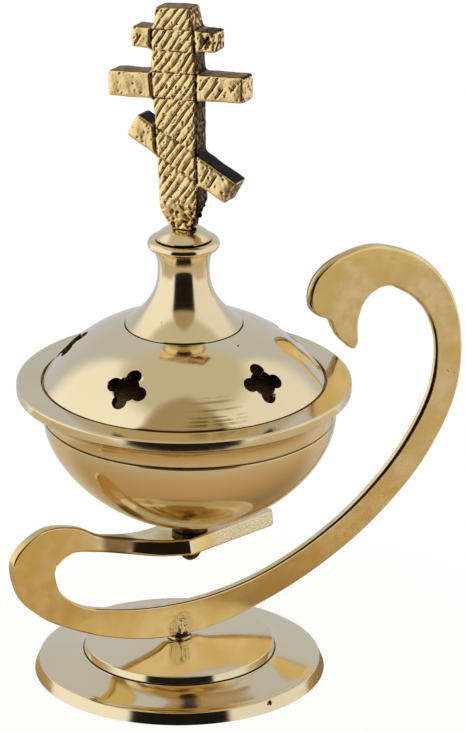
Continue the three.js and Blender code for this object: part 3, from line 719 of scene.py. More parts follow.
# %% Turn the bowl
bowl_outline = (
    [(SCREW_BORE, BOWL_BOTTOM), (SEAT_RADIUS, BOWL_BOTTOM)] + outer_belly
    + [(BELLY_RADIUS - 0.5, GROOVE_HEIGHT - 0.1), (BELLY_RADIUS - 0.5, GROOVE_HEIGHT + 0.1)]
    + along_curve(flare, 16)
    + [(LIP_RADIUS, LIP_EDGE_BOTTOM + 0.5), (LIP_RADIUS - 0.05, LIP_TOP - 0.35),
       (LIP_RADIUS - 0.5, LIP_TOP), (LEDGE_RADIUS, LIP_TOP),
       (LEDGE_RADIUS, LIP_EDGE_BOTTOM), (MOUTH_RADIUS, LIP_EDGE_BOTTOM),
       (MOUTH_RADIUS, GROOVE_HEIGHT + 0.4)]
    + list(reversed(inner_belly))
    + [(SEAT_RADIUS, BOWL_FLOOR), (SCREW_BORE, BOWL_FLOOR)]
)
bowl = turn("bowl_turned", bowl_outline, bowl_axis, edge_mm=0.16, steps=256)
lip_shift = lid_axis - bowl_axis
shift_start, shift_end = GROOVE_HEIGHT + 0.35, LIP_EDGE_BOTTOM - 1.0
for vertex in bowl.data.vertices:
    share = (vertex.co.z / MM - shift_start) / (shift_end - shift_start)
    share = min(max(share, 0.0), 1.0)
    vertex.co.x += share * share * (3 - 2 * share) * lip_shift * MM
print("lip carried over by, mm:", round(lip_shift, 2))

# %% Give the bowl its brass, unpolished inside
INSIDE_RADIUS = MOUTH_RADIUS + 2.2
INSIDE_TOP = LIP_TOP - 1.5
INSIDE_BOTTOM = BOWL_BOTTOM + 1.0
FACES_UP = 0.5
FACES_IN = -0.002

bowl.data.materials.append(bowl_brass)
bowl.data.materials.append(inner_brass)
for face in bowl.data.polygons:
    centre = face.center
    off_axis = Vector((centre.x - lid_axis * MM, centre.y)).length
    outwards = face.normal.x * (centre.x - bowl_axis * MM) + face.normal.y * centre.y
    inside = off_axis < INSIDE_RADIUS * MM and INSIDE_BOTTOM < centre.z / MM < INSIDE_TOP
    seen_from_above = outwards < FACES_IN * off_axis or face.normal.z > FACES_UP
    face.material_index = 1 if inside and seen_from_above else 0
hand_in(bowl, "censer_base", "bowl")

# %% [markdown]
# ## The lid
# The dome is turned first, on a fine mesh, so that its mirror stays true. Five four-lobed vents are then
# cut square to its surface with one cutter, copied round the axis. The cut is a Boolean modifier for each.

# %% Turn the dome
SKIRT_DROP = 2.0
LID_RADIUS = 34.4
LID_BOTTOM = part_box("lid")[0][2] / MM + SKIRT_DROP
LID_EDGE_TOP = LID_BOTTOM + 1.7
DOME_RISE = 15.5
DOME_POWER = 3.1
DOME_WALL = 1.6
STUD_BORE = 1.8
SKIRT_OUTER = MOUTH_RADIUS - 0.6
SKIRT_INNER = SKIRT_OUTER - 0.9


def dome_height(radius):
    """How high the dome's outside lies at a radius."""
    return LID_EDGE_TOP + DOME_RISE * (1 - (radius / LID_RADIUS) ** DOME_POWER)


def dome_outside(t):
    """The outside of the dome, from just inside its edge to the bore."""
    start = LID_RADIUS - 0.15
    radius = start + (STUD_BORE - start) * t
    return (radius, dome_height(radius))


def dome_inside(t):
    """The inside of the dome, from the bore to the skirt."""
    radius = STUD_BORE + (SKIRT_INNER - STUD_BORE) * t
    rise = DOME_RISE - DOME_WALL
    return (radius, LID_EDGE_TOP + rise * (1 - (radius / SKIRT_INNER) ** DOME_POWER))


lid_outline = (
    [(SKIRT_OUTER, LID_BOTTOM), (LID_RADIUS, LID_BOTTOM), (LID_RADIUS, LID_EDGE_TOP - 0.1)]
    + along_curve(dome_outside, 60) + along_curve(dome_inside, 40)
    + [(SKIRT_INNER, LID_BOTTOM - SKIRT_DROP), (SKIRT_OUTER, LID_BOTTOM - SKIRT_DROP)]
)
lid = turn("lid_turned", lid_outline, lid_axis, edge_mm=0, steps=256)
print("dome, mm high at its middle:", round(dome_height(STUD_BORE) - LID_BOTTOM, 1))

# %% Make the cutter of one vent
VENT_COUNT = 5
VENT_RADIUS = LID_RADIUS - 6.2
VENT_FIRST = math.radians(-60.5)
VENT_TWIST = math.radians(-9)
LOBE_RADIUS = 1.95
LOBE_OFFSET = 3.6
VENT_MIDDLE_RADIUS = 3.4
CUTTER_LENGTH = 10.0


def join_by_boolean(piece, other, operation):
    """Joins or cuts a piece with another, and removes the other."""
    select_only(piece)
    boolean = piece.modifiers.new("boolean", "BOOLEAN")
    boolean.operation = operation
    boolean.solver = "EXACT"
    boolean.object = other
    bpy.ops.object.modifier_apply(modifier="boolean")
    bpy.data.objects.remove(other)


def round_bar(radius, length, middle, sides=32):
    """An upright round bar, with its size and its middle in mm."""
    bpy.ops.mesh.primitive_cylinder_add(vertices=sides, radius=radius * MM, depth=length * MM,
                                        location=[part * MM for part in middle])
    bpy.ops.object.transform_apply(location=True, rotation=False, scale=False)
    return bpy.context.object


cutter = round_bar(VENT_MIDDLE_RADIUS, CUTTER_LENGTH, (0, 0, 0))
for x, y in ((LOBE_OFFSET, 0), (0, LOBE_OFFSET), (-LOBE_OFFSET, 0), (0, -LOBE_OFFSET)):
    join_by_boolean(cutter, round_bar(LOBE_RADIUS, CUTTER_LENGTH, (x, y, 0)), "UNION")
print("cutter:", len(cutter.data.polygons), "faces")

# %% Cut the five vents
VENT_EDGE = 0.26
VENT_EDGE_ANGLE = 38
SLIVER = 0.02

dome_slope = DOME_POWER * DOME_RISE * VENT_RADIUS ** (DOME_POWER - 1) / LID_RADIUS ** DOME_POWER
for i in range(VENT_COUNT):
    tool = cutter.copy()
    tool.data = cutter.data.copy()
    scene.collection.objects.link(tool)
    place_tool = (
        Matrix.Translation((lid_axis * MM, 0, 0))
        @ Matrix.Rotation(VENT_FIRST + i * 2 * math.pi / VENT_COUNT, 4, "Z")
        @ Matrix.Translation((0, -VENT_RADIUS * MM, dome_height(VENT_RADIUS) * MM))
        @ Matrix.Rotation(math.atan(dome_slope), 4, "X")
        @ Matrix.Rotation(VENT_TWIST, 4, "Z")
    )
    tool.data.transform(place_tool)
    join_by_boolean(lid, tool, "DIFFERENCE")
bpy.data.objects.remove(cutter)
select_only(lid)
finish_edges(lid, VENT_EDGE, angle=VENT_EDGE_ANGLE)
mend(SLIVER)
print("vents cut:", VENT_COUNT)

# %% Give the lid its brass, unpolished underneath
lid.data.materials.clear()
lid.data.materials.append(lid_brass)
lid.data.materials.append(inner_brass)
for face in lid.data.polygons:
    centre = face.center
    off_axis = Vector((centre.x - lid_axis * MM, centre.y)).length / MM
    underside = dome_height(min(off_axis, LID_RADIUS)) - 1.2
    face.material_index = 1 if off_axis < SKIRT_INNER + 0.3 and centre.z / MM < underside else 0
hand_in(lid, "lid_assembly", "lid")

# %% [markdown]
# ## The neck and the finial disc
# A hollow neck flares down onto the dome and ends in a round collar. A thin domed disc lies on the collar
# and carries the cross. Both are turned, and the neck keeps fine rings from the tool.

# %% Turn the neck
NECK_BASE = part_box("neck")[0][2] / MM
THROAT_RADIUS = 6.3
FLANGE_RADIUS = 14.3
THROAT_HEIGHT = 13.7
COLLAR_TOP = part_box("neck")[1][2] / MM
COLLAR_TUBE = 1.3
COLLAR_RADIUS = THROAT_RADIUS + 1.2
COLLAR_THICKNESS = 4.2
NECK_OPENING = 1.1
NECK_RISE = 5.2
NECK_WALL = 1.8


def neck_flare(wall):
    """The flare from the dome up to the throat; the outside starts close above the dome."""
    start = NECK_BASE - 0.3 if wall == 0 else NECK_BASE + 0.4

    def point(t):
        return (THROAT_RADIUS - wall + (FLANGE_RADIUS - THROAT_RADIUS) * (1 - t) ** 2.3,
                start + (NECK_BASE + THROAT_HEIGHT - start) * t)
    return point


def neck_rise(t):
    """From the throat up to the collar, opening a little."""
    return (THROAT_RADIUS + NECK_OPENING * t ** 2.4, NECK_BASE + THROAT_HEIGHT + NECK_RISE * t)


def collar(t):
    """The collar's round edge, from its lowest point to its highest."""
    angle = -math.pi / 2 + math.pi * t
    return (COLLAR_RADIUS + COLLAR_TUBE * math.cos(angle),
            COLLAR_TOP - COLLAR_TUBE + COLLAR_TUBE * math.sin(angle))


outer_neck = along_curve(neck_flare(0), 40) + along_curve(neck_rise, 10)[1:]
flange_seat = dome_height(FLANGE_RADIUS)
collar_bottom = COLLAR_TOP - COLLAR_THICKNESS
neck_outline = (
    [(FLANGE_RADIUS - 0.3, flange_seat + 0.12), (FLANGE_RADIUS, flange_seat + 0.14)]
    + outer_neck + along_curve(collar, 14)[1:]
    + [(STUD_BORE, COLLAR_TOP), (STUD_BORE, collar_bottom), (THROAT_RADIUS - NECK_WALL, collar_bottom)]
    + list(reversed(along_curve(neck_flare(NECK_WALL), 24)))
)
neck = turn("neck_turned", neck_outline, lid_axis, edge_mm=0)
neck.data.materials.append(neck_brass)
hand_in(neck, "lid_assembly", "neck")

# %% Turn the finial disc
DISC_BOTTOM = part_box("finial_disc")[0][2] / MM
DISC_RADIUS = 7.0
DISC_EDGE = 0.35
DISC_HEIGHT = 2.5


def disc_top(t):
    """The disc's low dome, from its edge to the flat that the cross stands on."""
    rise = (DISC_HEIGHT - DISC_EDGE) * (1.4 * t - 0.4 * t ** 3)
    return (DISC_RADIUS - 0.1 - DISC_RADIUS / 2 * t, DISC_BOTTOM + DISC_EDGE + rise)


disc_outline = (
    [(STUD_BORE, DISC_BOTTOM), (DISC_RADIUS - 0.1, DISC_BOTTOM),
     (DISC_RADIUS, DISC_BOTTOM + 0.1), (DISC_RADIUS, DISC_BOTTOM + 0.3)]
    + along_curve(disc_top, 10) + [(STUD_BORE, DISC_BOTTOM + DISC_HEIGHT)]
)
disc = turn("finial_disc_turned", disc_outline, lid_axis, edge_mm=0, steps=128)
disc.data.materials.append(neck_brass)
hand_in(disc, "lid_assembly", "finial_disc")

# %% [markdown]
# ## The screw under the bowl
# One dome-headed screw comes up through the handle's flat end and holds the bowl. Its head shows below.

# %% Turn the screw
SCREW_BOTTOM, SCREW_TOP = [corner[2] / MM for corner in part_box("bowl_screw")]
HEAD_RADIUS = 2.9
HEAD_RIM = 0.8
HEAD_DOME = 3.5
HEAD_TOP = SCREW_BOTTOM + HEAD_RIM + HEAD_DOME
SHANK_RADIUS = 1.5
TIP_CHAMFER = 0.4


def screw_dome(t):
    """The head's dome, from its lowest point out to its rim."""
    angle = t * math.pi / 2
    return (HEAD_RADIUS * math.sin(angle), HEAD_TOP - HEAD_RIM - HEAD_DOME * math.cos(angle))


screw_outline = along_curve(screw_dome, 12) + [
    (HEAD_RADIUS, HEAD_TOP), (SHANK_RADIUS, HEAD_TOP), (SHANK_RADIUS, SCREW_TOP - TIP_CHAMFER),
    (SHANK_RADIUS - TIP_CHAMFER, SCREW_TOP), (0.0, SCREW_TOP)]
screw = turn("bowl_screw_turned", screw_outline, bowl_axis, edge_mm=0.08, closed=False, steps=64)
screw.data.materials.append(dark_steel)
hand_in(screw, "censer_base", "bowl_screw")

# %% [markdown]
# ## The handle
# The handle is one flat casting: a swan's head, a long sweep, a curl and an arm whose end is a flat leaf
# for the bowl. Its faces were filed, and the inner side of the sweep and the outer side of the head get
# painted shade. A grid is rolled into a tube whose rings follow the middle line. Each ring is a rounded
# oblong with its own height, thickness and corner, so the bar keeps crisp edges and the head swells.

# %% Stations of the handle, from the bill to the leaf
SWAN_STATIONS = [
    # x, z of the outer edge, x, z of the inner edge, thickness, corner along, corner across
    (50.1, 74.1, 50.6, 74.2, 0.9, 0.4, 0.40),
    (48.8, 74.7, 51.2, 75.3, 1.4, 0.5, 0.60),
    (47.0, 76.4, 51.3, 76.6, 1.8, 0.6, 0.80),
    (45.1, 78.4, 51.2, 78.2, 2.1, 0.7, 0.95),
    (43.6, 81.1, 51.1, 80.2, 2.3, 0.8, 1.05),
    (42.3, 83.5, 51.4, 82.2, 2.5, 0.9, 1.15),
    (39.4, 85.1, 52.0, 84.1, 2.6, 1.0, 1.20),
    (37.4, 87.0, 52.5, 85.4, 2.7, 1.0, 1.25),
    (36.7, 89.6, 53.1, 86.2, 2.7, 1.0, 1.25),
    (37.1, 92.6, 53.9, 87.0, 2.7, 1.0, 1.25),
    (38.7, 95.5, 54.9, 87.8, 2.7, 1.0, 1.25),
    (42.4, 98.3, 56.1, 88.4, 2.8, 1.0, 1.25),
    (47.3, 100.0, 57.5, 88.9, 2.8, 1.0, 1.25),
    (53.2, 100.8, 59.1, 89.0, 2.8, 1.0, 1.20),
    (58.4, 100.1, 60.7, 88.8, 2.8, 1.0, 1.20),
]
BAR_STATIONS = [
    # x, z of the middle, height in the plane, thickness, corner along, corner across, lean of the sides
    (65.0, 92.0, 9.8, 2.8, 1.0, 1.20, 0.0),
    (70.6, 87.7, 9.2, 2.7, 1.0, 1.15, 0.0),
    (75.6, 80.8, 8.4, 2.5, 1.0, 1.10, 0.0),
    (78.18, 70.9, 7.78, 2.4, 1.0, 1.05, 0.0),
    (76.6, 57.5, 8.2, 2.3, 1.0, 0.95, 0.0),
    (68.2, 43.2, 8.3, 2.3, 0.9, 0.90, 0.0),
    (55.3, 31.2, 7.9, 2.3, 0.8, 0.80, 0.0),
    (40.8, 22.5, 7.6, 2.3, 0.7, 0.70, 0.0),
    (25.2, 16.4, 7.6, 2.3, 0.6, 0.60, 0.0),
    (9.8, 13.2, 8.4, 2.3, 0.5, 0.50, 0.0),
    (-4.9, 13.1, 8.6, 2.3, 0.5, 0.50, 0.0),
    (-19.4, 15.9, 7.4, 2.3, 0.5, 0.45, 0.0),
    (-30.4, 20.0, 6.3, 2.3, 0.5, 0.45, 0.0),
    (-37.6, 25.2, 7.8, 2.3, 0.5, 0.45, 0.0),
    (-41.4, 31.2, 10.6, 2.6, 0.5, 0.50, 0.0),
    (-41.9, 36.6, 12.6, 2.8, 0.6, 0.55, 0.0),
    (-37.8, 40.0, 10.8, 2.6, 0.6, 0.55, 0.0),
    (-30.9, 40.7, 6.7, 2.4, 0.6, 0.55, 0.04),
    (-24.2, 38.4, 4.3, 2.8, 0.9, 0.70, 0.13),
    (-16.0, 36.3, 4.0, 5.0, 0.8, 0.75, 0.20),
    (-8.5, 34.8, 3.9, 9.4, 0.6, 0.60, 0.26),
    (-0.8, 34.3, 3.8, 14.0, 0.5, 0.50, 0.28),
]
LEAF_END = [(25.3, 34.3, 3.8, 3.4, 0.5, 0.5, 0.16), (26.2, 34.3, 3.8, 1.8, 0.5, 0.5, 0.16)]

# %% A smooth curve through stations
def centripetal(points, steps):
    """A smooth curve through points, with tight turns where the points are close, as rows of numbers."""
    first = [2 * a - b for a, b in zip(points[0], points[1])]
    last = [2 * a - b for a, b in zip(points[-1], points[-2])]
    padded = [first] + [list(p) for p in points] + [last]
    rows = []
    for a, b, c, d in zip(padded, padded[1:], padded[2:], padded[3:]):
        gaps = [max(math.dist(p[:2], q[:2]), 1e-6) ** 0.5 for p, q in ((a, b), (b, c), (c, d))]
        for i in range(steps):
            t = i / steps
            row = []
            for k in range(len(b)):
                m0 = (b[k] - a[k]) / gaps[0] - (c[k] - a[k]) / (gaps[0] + gaps[1]) + (c[k] - b[k]) / gaps[1]
                m1 = (c[k] - b[k]) / gaps[1] - (d[k] - b[k]) / (gaps[1] + gaps[2]) + (d[k] - c[k]) / gaps[2]
                m0, m1 = m0 * gaps[1], m1 * gaps[1]
                row.append((2 * b[k] - 2 * c[k] + m0 + m1) * t ** 3
                           + (-3 * b[k] + 3 * c[k] - 2 * m0 - m1) * t ** 2 + m0 * t + b[k])
            rows.append(row)
    rows.append(list(points[-1]))
    return rows


# %% [markdown]
# Each ring stands square to the middle line. Over the swan's head its two ends were measured, and along the
# bar its direction comes from the stations before and after it. At its last station the arm is level.

# %% Rings of the handle
RINGS_PER_STATION = 12
LEVEL_RUN = 8

rows = []
for x0, z0, x1, z1, *shape in SWAN_STATIONS:
    rows.append([(x0 + x1) / 2, (z0 + z1) / 2, x0 - x1, z0 - z1, *shape, 0.0])
middles = [rows[-1][:2]] + [station[:2] for station in BAR_STATIONS]
last_x, last_z = middles[-1]
level_end = ((last_x - LEVEL_RUN, last_z), (last_x + LEVEL_RUN, last_z))
neighbours = list(zip(middles, middles[2:])) + [level_end]
for (x, z, size, *shape), (before, after) in zip(BAR_STATIONS, neighbours):
    near, far = math.dist(before, (x, z)), math.dist((x, z), after)
    run = [(a - m) / far * near + (m - b) / near * far for a, m, b in zip(after, (x, z), before)]
    length = math.hypot(*run)
    rows.append([x, z, run[1] / length * -size, run[0] / length * size, *shape])
rows = centripetal(rows, RINGS_PER_STATION)
for x, z, size, *shape in LEAF_END:
    rows.append([x, z, 0, size, *shape])
print("handle rings:", len(rows))

# %% Roll a grid into the handle
CORNER_STEPS = 5
MOST_CORNER = 0.49
SAME_POINT = 0.001 * MM


def oblong(row):
    """Points round one ring, in metres: a rounded oblong across the middle line."""
    x, z, side_x, side_z, thickness, corner_in, corner_across, lean = row
    height = math.hypot(side_x, side_z)
    unit = (side_x / height, side_z / height)
    corner_in = min(corner_in, height * MOST_CORNER)
    corner_across = min(corner_across, thickness * MOST_CORNER)
    ring = []
    for quarter, (sign_in, sign_across) in enumerate(((1, 1), (-1, 1), (-1, -1), (1, -1))):
        for i in range(CORNER_STEPS + 1):
            angle = (i / CORNER_STEPS) * math.pi / 2
            if quarter % 2:
                angle = math.pi / 2 - angle
            a = sign_in * (height / 2 - corner_in + corner_in * math.cos(angle))
            b = sign_across * (thickness / 2 - corner_across + corner_across * math.sin(angle) - lean * a)
            ring.append(Vector((x + axis_shift + unit[0] * a, b, z + unit[1] * a)) * MM)
    return ring


rings = [oblong(row) for row in rows]
ring_size = len(rings[0])
bpy.ops.object.select_all(action="DESELECT")
bpy.ops.mesh.primitive_grid_add(x_subdivisions=ring_size, y_subdivisions=len(rings) - 1, size=MM,
                                location=(0, 0, 0))
handle = bpy.context.object
handle.name = "handle_cast"
handle.data.name = "handle_cast"
for index, vertex in enumerate(handle.data.vertices):
    vertex.co = rings[index // (ring_size + 1)][index % (ring_size + 1) % ring_size]
bpy.ops.object.mode_set(mode="EDIT")
bpy.ops.mesh.select_all(action="SELECT")
bpy.ops.mesh.remove_doubles(threshold=SAME_POINT)
bpy.ops.mesh.select_all(action="DESELECT")
bpy.ops.mesh.select_non_manifold()
bpy.ops.mesh.edge_face_add()
bpy.ops.mesh.select_all(action="SELECT")
bpy.ops.mesh.normals_make_consistent(inside=False)
bpy.ops.object.mode_set(mode="OBJECT")
print("handle:", len(handle.data.polygons), "faces")

# %% [markdown]
# The bar was brazed to a small boss, and a tenon goes down from it through the foot. The braze left a
# lumpy patch on both faces of the bar. The hole for the screw is drilled through the leaf.

# %% Turn the boss and the tenon, and make the braze lumpy
HANDLE_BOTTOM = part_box("handle")[0][2] / MM
BOSS_OUTLINE = [
    (0, HANDLE_BOTTOM), (2.0, HANDLE_BOTTOM), (2.0, 8.1), (3.0, 8.1), (2.9, 8.5), (2.3, 8.9),
    (1.75, 9.4), (1.4, 10.2), (1.3, 11.2), (1.3, 12.6), (0.9, 13.4), (0, 13.6)]
BOSS_POINT_SPACING = 0.4
BRAZE_START, BRAZE_FULL = 8.3, 9.1
BRAZE_LUMPS = (
    # how many to the mm, how high in mm
    (0.8, 0.35),
    (2.1, 0.18),
)


def rise_between(value, low, high):
    """0 up to low, 1 from high on and straight between. Low may be the larger."""
    return max(0.0, min(1.0, (value - low) / (high - low)))


def refined(points, length):
    """The same outline with extra points, none further apart than a length."""
    result = [points[0]]
    for (x0, z0), (x1, z1) in zip(points, points[1:]):
        count = max(1, math.ceil(math.dist((x0, z0), (x1, z1)) / length))
        result += [(x0 + (x1 - x0) * i / count, z0 + (z1 - z0) * i / count) for i in range(1, count + 1)]
    return result


boss_outline = refined(BOSS_OUTLINE, BOSS_POINT_SPACING)
boss = turn("boss", boss_outline, foot_axis, edge_mm=0, closed=False, steps=64)
for vertex in boss.data.vertices:
    above = rise_between(vertex.co.z / MM, BRAZE_START, BRAZE_FULL)
    off_axis = Vector((vertex.co.x - foot_axis * MM, vertex.co.y, 0))
    lump = sum(noise.noise(vertex.co / MM * per_mm) * high for per_mm, high in BRAZE_LUMPS)
    vertex.co += off_axis.normalized() * above * lump * MM
print("boss:", len(boss.data.polygons), "faces")

# %% Join the boss and drill the leaf
DRILL_LENGTH = 8.2
DRILL_MIDDLE = 36.2

join_by_boolean(handle, boss, "UNION")
drill = round_bar(SCREW_BORE, DRILL_LENGTH, (bowl_axis, 0, DRILL_MIDDLE), sides=48)
join_by_boolean(handle, drill, "DIFFERENCE")
select_only(handle)
mend(SLIVER)
shade(handle, 35)
handle.data.materials.clear()
handle.data.materials.append(filed_brass)
print("handle with boss:", len(handle.data.polygons), "faces")

# %% [markdown]
# Some narrow sides are darkened with painted shade. Each face therefore carries a share of painted shade,
# which depends on the place where it lies and on the way it looks.

# %% Mark where the handle gets painted shade
SWEEP_CENTRE = Vector((15.0, 0, 62.0))
SWEEP_DARK_UP_TO, SWEEP_BRIGHT_FROM = 75.0, 81.0
HEAD_CENTRE = Vector((50.0, 0, 88.0))
HEAD_LEFT, HEAD_BOTTOM = 32, 79
HEAD_DARK_UP_TO, HEAD_BRIGHT_FROM = 41.0, 51.0
HEAD_DARK_BEHIND, HEAD_DARK_IN_FRONT = 0.85, 0.15
CURL_RIGHT = -25
LEAF_RIGHT, LEAF_BOTTOM = 32, 24
BILL_RIGHT, BILL_BOTTOM = 54, 70


def edge_shade_share(centre, normal):
    """How much painted shade a face gets: the front corner of the sweep's inner side, and the head's outer
    side.
    """
    x, z = centre.x, centre.z
    if x > HEAD_LEFT and z > HEAD_BOTTOM:
        outwards = (centre - HEAD_CENTRE).normalized()
        faces_out = normal.dot(outwards) > 0.5 and normal.x < -0.1 and abs(normal.y) < 0.75
        darkest = HEAD_DARK_BEHIND if normal.y > 0.05 else HEAD_DARK_IN_FRONT
        return min(darkest, rise_between(x, HEAD_BRIGHT_FROM, HEAD_DARK_UP_TO)) if faces_out else 0.0
    on_leaf = x < LEAF_RIGHT and z > LEAF_BOTTOM
    on_bill = x < BILL_RIGHT and z > BILL_BOTTOM
    faces_in = normal.dot((SWEEP_CENTRE - centre).normalized()) > 0.35
    front_corner = -0.8 < normal.y < -0.3
    if x < CURL_RIGHT or on_leaf or on_bill or not faces_in or not front_corner:
        return 0.0
    return rise_between(z, SWEEP_BRIGHT_FROM, SWEEP_DARK_UP_TO)


# Each face's share of painted shade.
shares = []
for face in handle.data.polygons:
    centre = Vector((face.center.x / MM - axis_shift, face.center.y / MM, face.center.z / MM))
    shares.append(edge_shade_share(centre, face.normal))
painted_edge_shade = handle.data.attributes.new("painted_edge_shade", "FLOAT", "FACE")
painted_edge_shade.data.foreach_set("value", shares)
hand_in(handle, "censer_base", "handle")

# %% [markdown]
# ## The cross
# The three-bar cross was cast in sand with its panels and slanting cuts already in it, so its edges are
# soft and its surface is grainy. Plain bars are joined, remeshed into small even faces and smoothed. The
# cuts are then pressed into the front and back by moving points, and each point remembers how deep it
# lies and how much painted shade it gets, which the brass uses for its dark stain.

# %% Join the bars of the cross
CROSS_THICKNESS = 7.0
CROSS_TURN = math.radians(-53)
CROSS_LEAN = math.radians(4.8)
CROSS_BACK = math.radians(6)
CROSS_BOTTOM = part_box("cross_finial")[0][2] / MM
BEAM = [
    (-2.4, -0.4), (-2.4, -3.0), (2.9, -3.0), (2.9, -0.4), (5.4, 5.0), (5.5, 18.0), (6.3, 38.0), (6.2, 48.9),
    (5.3, 54.4), (-4.0, 54.4), (-4.4, 48.9), (-5.5, 41.0), (-5.0, 18.0), (-4.8, 4.6)]
ARMS = {
    "upper_arm": {"x": 0.6, "height": 46.5, "half_length": 10.9, "width": 5.2, "tilt": math.radians(-2.5)},
    "main_arm": {"x": 0.8, "height": 35.0, "half_length": 17.6, "width": 6.5, "tilt": math.radians(-1.1)},
    "footrest": {"x": 1.4, "height": 17.3, "half_length": 14.9, "width": 6.2, "tilt": math.radians(-33)},
}


def slab(name, outline):
    """A flat slab of the cross from its outline in mm, in the XZ plane, thick in Y."""
    wire = draw_out(name, outline)
    bpy.ops.mesh.edge_face_add()
    bpy.ops.transform.translate(value=(0, -CROSS_THICKNESS / 2 * MM, 0))
    bpy.ops.mesh.extrude_region_move(TRANSFORM_OT_translate={"value": (0, CROSS_THICKNESS * MM, 0)})
    bpy.ops.mesh.select_all(action="SELECT")
    bpy.ops.mesh.normals_make_consistent(inside=False)
    bpy.ops.object.mode_set(mode="OBJECT")
    return wire


cross = slab("cross_cast", BEAM)
for name, arm in ARMS.items():
    cos, sin = math.cos(arm["tilt"]), math.sin(arm["tilt"])
    outline = []
    for a, b in ((-1, -1), (1, -1), (1, 1), (-1, 1)):
        u, w = a * arm["half_length"], b * arm["width"] / 2
        outline.append((arm["x"] + u * cos - w * sin, arm["height"] + u * sin + w * cos))
    join_by_boolean(cross, slab(name, outline), "UNION")
print("bars of the cross joined:", 1 + len(ARMS))

# %% Remesh the cross and soften it
CROSS_VOXEL = 0.25
SOFTENING_ROUNDS = 60

select_only(cross)
remesh = cross.modifiers.new("even_faces", "REMESH")
remesh.mode = "VOXEL"
remesh.voxel_size = CROSS_VOXEL * MM
bpy.ops.object.modifier_apply(modifier="even_faces")
soften = cross.modifiers.new("soften", "SMOOTH")
soften.iterations = SOFTENING_ROUNDS
soften.factor = 0.5
bpy.ops.object.modifier_apply(modifier="soften")
print("cross remeshed:", len(cross.data.polygons), "faces")

# %% [markdown]
# The front is divided by six lines into panels, and grooves part the arms from the beam. Slanting cuts fill
# the panels of the beam, and a few more are on the arms. All are short lines in the plane of the cross: u
# goes to the right and v up, in mm from the middle of its lower end.

# %% Lines cut into the cross
PANEL_LINES = [
    ((-4.6, 49.0), (6.2, 49.0)), ((-5.2, 43.9), (6.3, 43.5)),
    ((-5.4, 38.6), (6.3, 38.2)), ((-5.2, 32.2), (6.0, 31.8)),
    ((-5.0, 24.9), (5.4, 18.6)), ((-5.0, 18.1), (5.3, 11.8)),
]
ARM_JOINTS = [
    ((-4.9, 49.2), (-5.2, 43.6)), ((6.0, 48.8), (6.1, 43.4)),
    ((-5.5, 38.8), (-5.2, 31.8)), ((6.2, 38.4), (5.9, 31.6)),
    ((-5.1, 25.4), (-4.9, 17.6)), ((5.4, 19.4), (5.3, 11.6)),
]
ARM_STROKES = [
    ((7.4, 34.6), (9.2, 37.0)), ((8.8, 32.8), (11.8, 36.6)), ((11.4, 32.8), (13.0, 34.8)),
    ((15.4, 34.6), (16.4, 35.8)), ((7.8, 44.6), (9.6, 47.2)),
    ((6.8, 12.2), (8.4, 14.8)), ((8.6, 10.8), (10.4, 13.4)), ((-9.0, 45.4), (-7.6, 47.4)),
]
print("lines on each side:", len(PANEL_LINES + ARM_JOINTS + ARM_STROKES))

# %% How deep the cuts are
HATCH_ANGLE = math.radians(52)
HATCH_SPACING = 1.75
HATCH_WIDTH = 0.36
HATCH_SHIFT = 0.7
PANEL_LINE_WIDTH = 0.45
JOINT_WIDTH = 0.7
STROKE_WIDTH = 0.42
STEM_TOP = 5.5
DEEPEST = 1.2


def to_line(u, v, line):
    """Distance in mm from (u, v) to a short line."""
    (u0, v0), (u1, v1) = line
    du, dv = u1 - u0, v1 - v0
    t = max(0.0, min(1.0, ((u - u0) * du + (v - v0) * dv) / (du * du + dv * dv)))
    return math.hypot(u - u0 - t * du, v - v0 - t * dv)


def trough(distance, half_width):
    """Depth share of a rounded cut at a distance from its middle."""
    return math.cos(min(distance / half_width, 1.0) * math.pi / 2) ** 2


def panel_of(u, v):
    """Which panel of the beam holds (u, v): the number of panel lines below it."""
    count = 0
    for (u0, v0), (u1, v1) in PANEL_LINES:
        if v > v0 + (v1 - v0) * (u - u0) / (u1 - u0):
            count += 1
    return count


def hatch(u, v, seed):
    """Slanting cuts, a little uneven, which break off near the panel lines."""
    panel = panel_of(u, v)
    wobble = noise.noise(Vector((u * 0.2, v * 0.2, seed))) * 0.35
    across = -u * math.sin(HATCH_ANGLE) + v * math.cos(HATCH_ANGLE) + wobble + panel * HATCH_SHIFT
    strength = 0.75 + 0.9 * noise.noise(Vector((u * 0.35, v * 0.35, seed + 7)))
    offset = (across / HATCH_SPACING) % 1.0
    return trough(abs(offset - 0.5) * HATCH_SPACING, HATCH_WIDTH) * max(0.2, min(1.0, strength))


def cut_at(u, v, seed):
    """How deep the front or back is cut at (u, v): 0 beside the cuts, and about 1 in their middle."""
    inside_beam = -5.0 < u < (6.0 if v > 30 else 5.2) and v > STEM_TOP + 1.0
    depth = hatch(u, v, seed) if inside_beam else 0.0
    broken = 0.65 + 0.7 * noise.noise(Vector((u * 0.8, v * 0.8, seed + 3)))
    for lines, width, share in ((PANEL_LINES, PANEL_LINE_WIDTH, broken),
                                (ARM_JOINTS, JOINT_WIDTH, broken + 0.35),
                                (ARM_STROKES, STROKE_WIDTH, 0.9)):
        for line in lines:
            depth = max(depth, trough(to_line(u, v, line), width) * share)
    return min(depth, DEEPEST)


print("cut depth on a panel line:", round(cut_at(0.0, 49.0, 3.0), 2))

# %% [markdown]
# Besides its cuts the casting has faults of its own: low lumps, scattered pits, a rough stem where the metal
# ran in, and a broken patch on the upper arm. The sides that look right and up get painted shade.

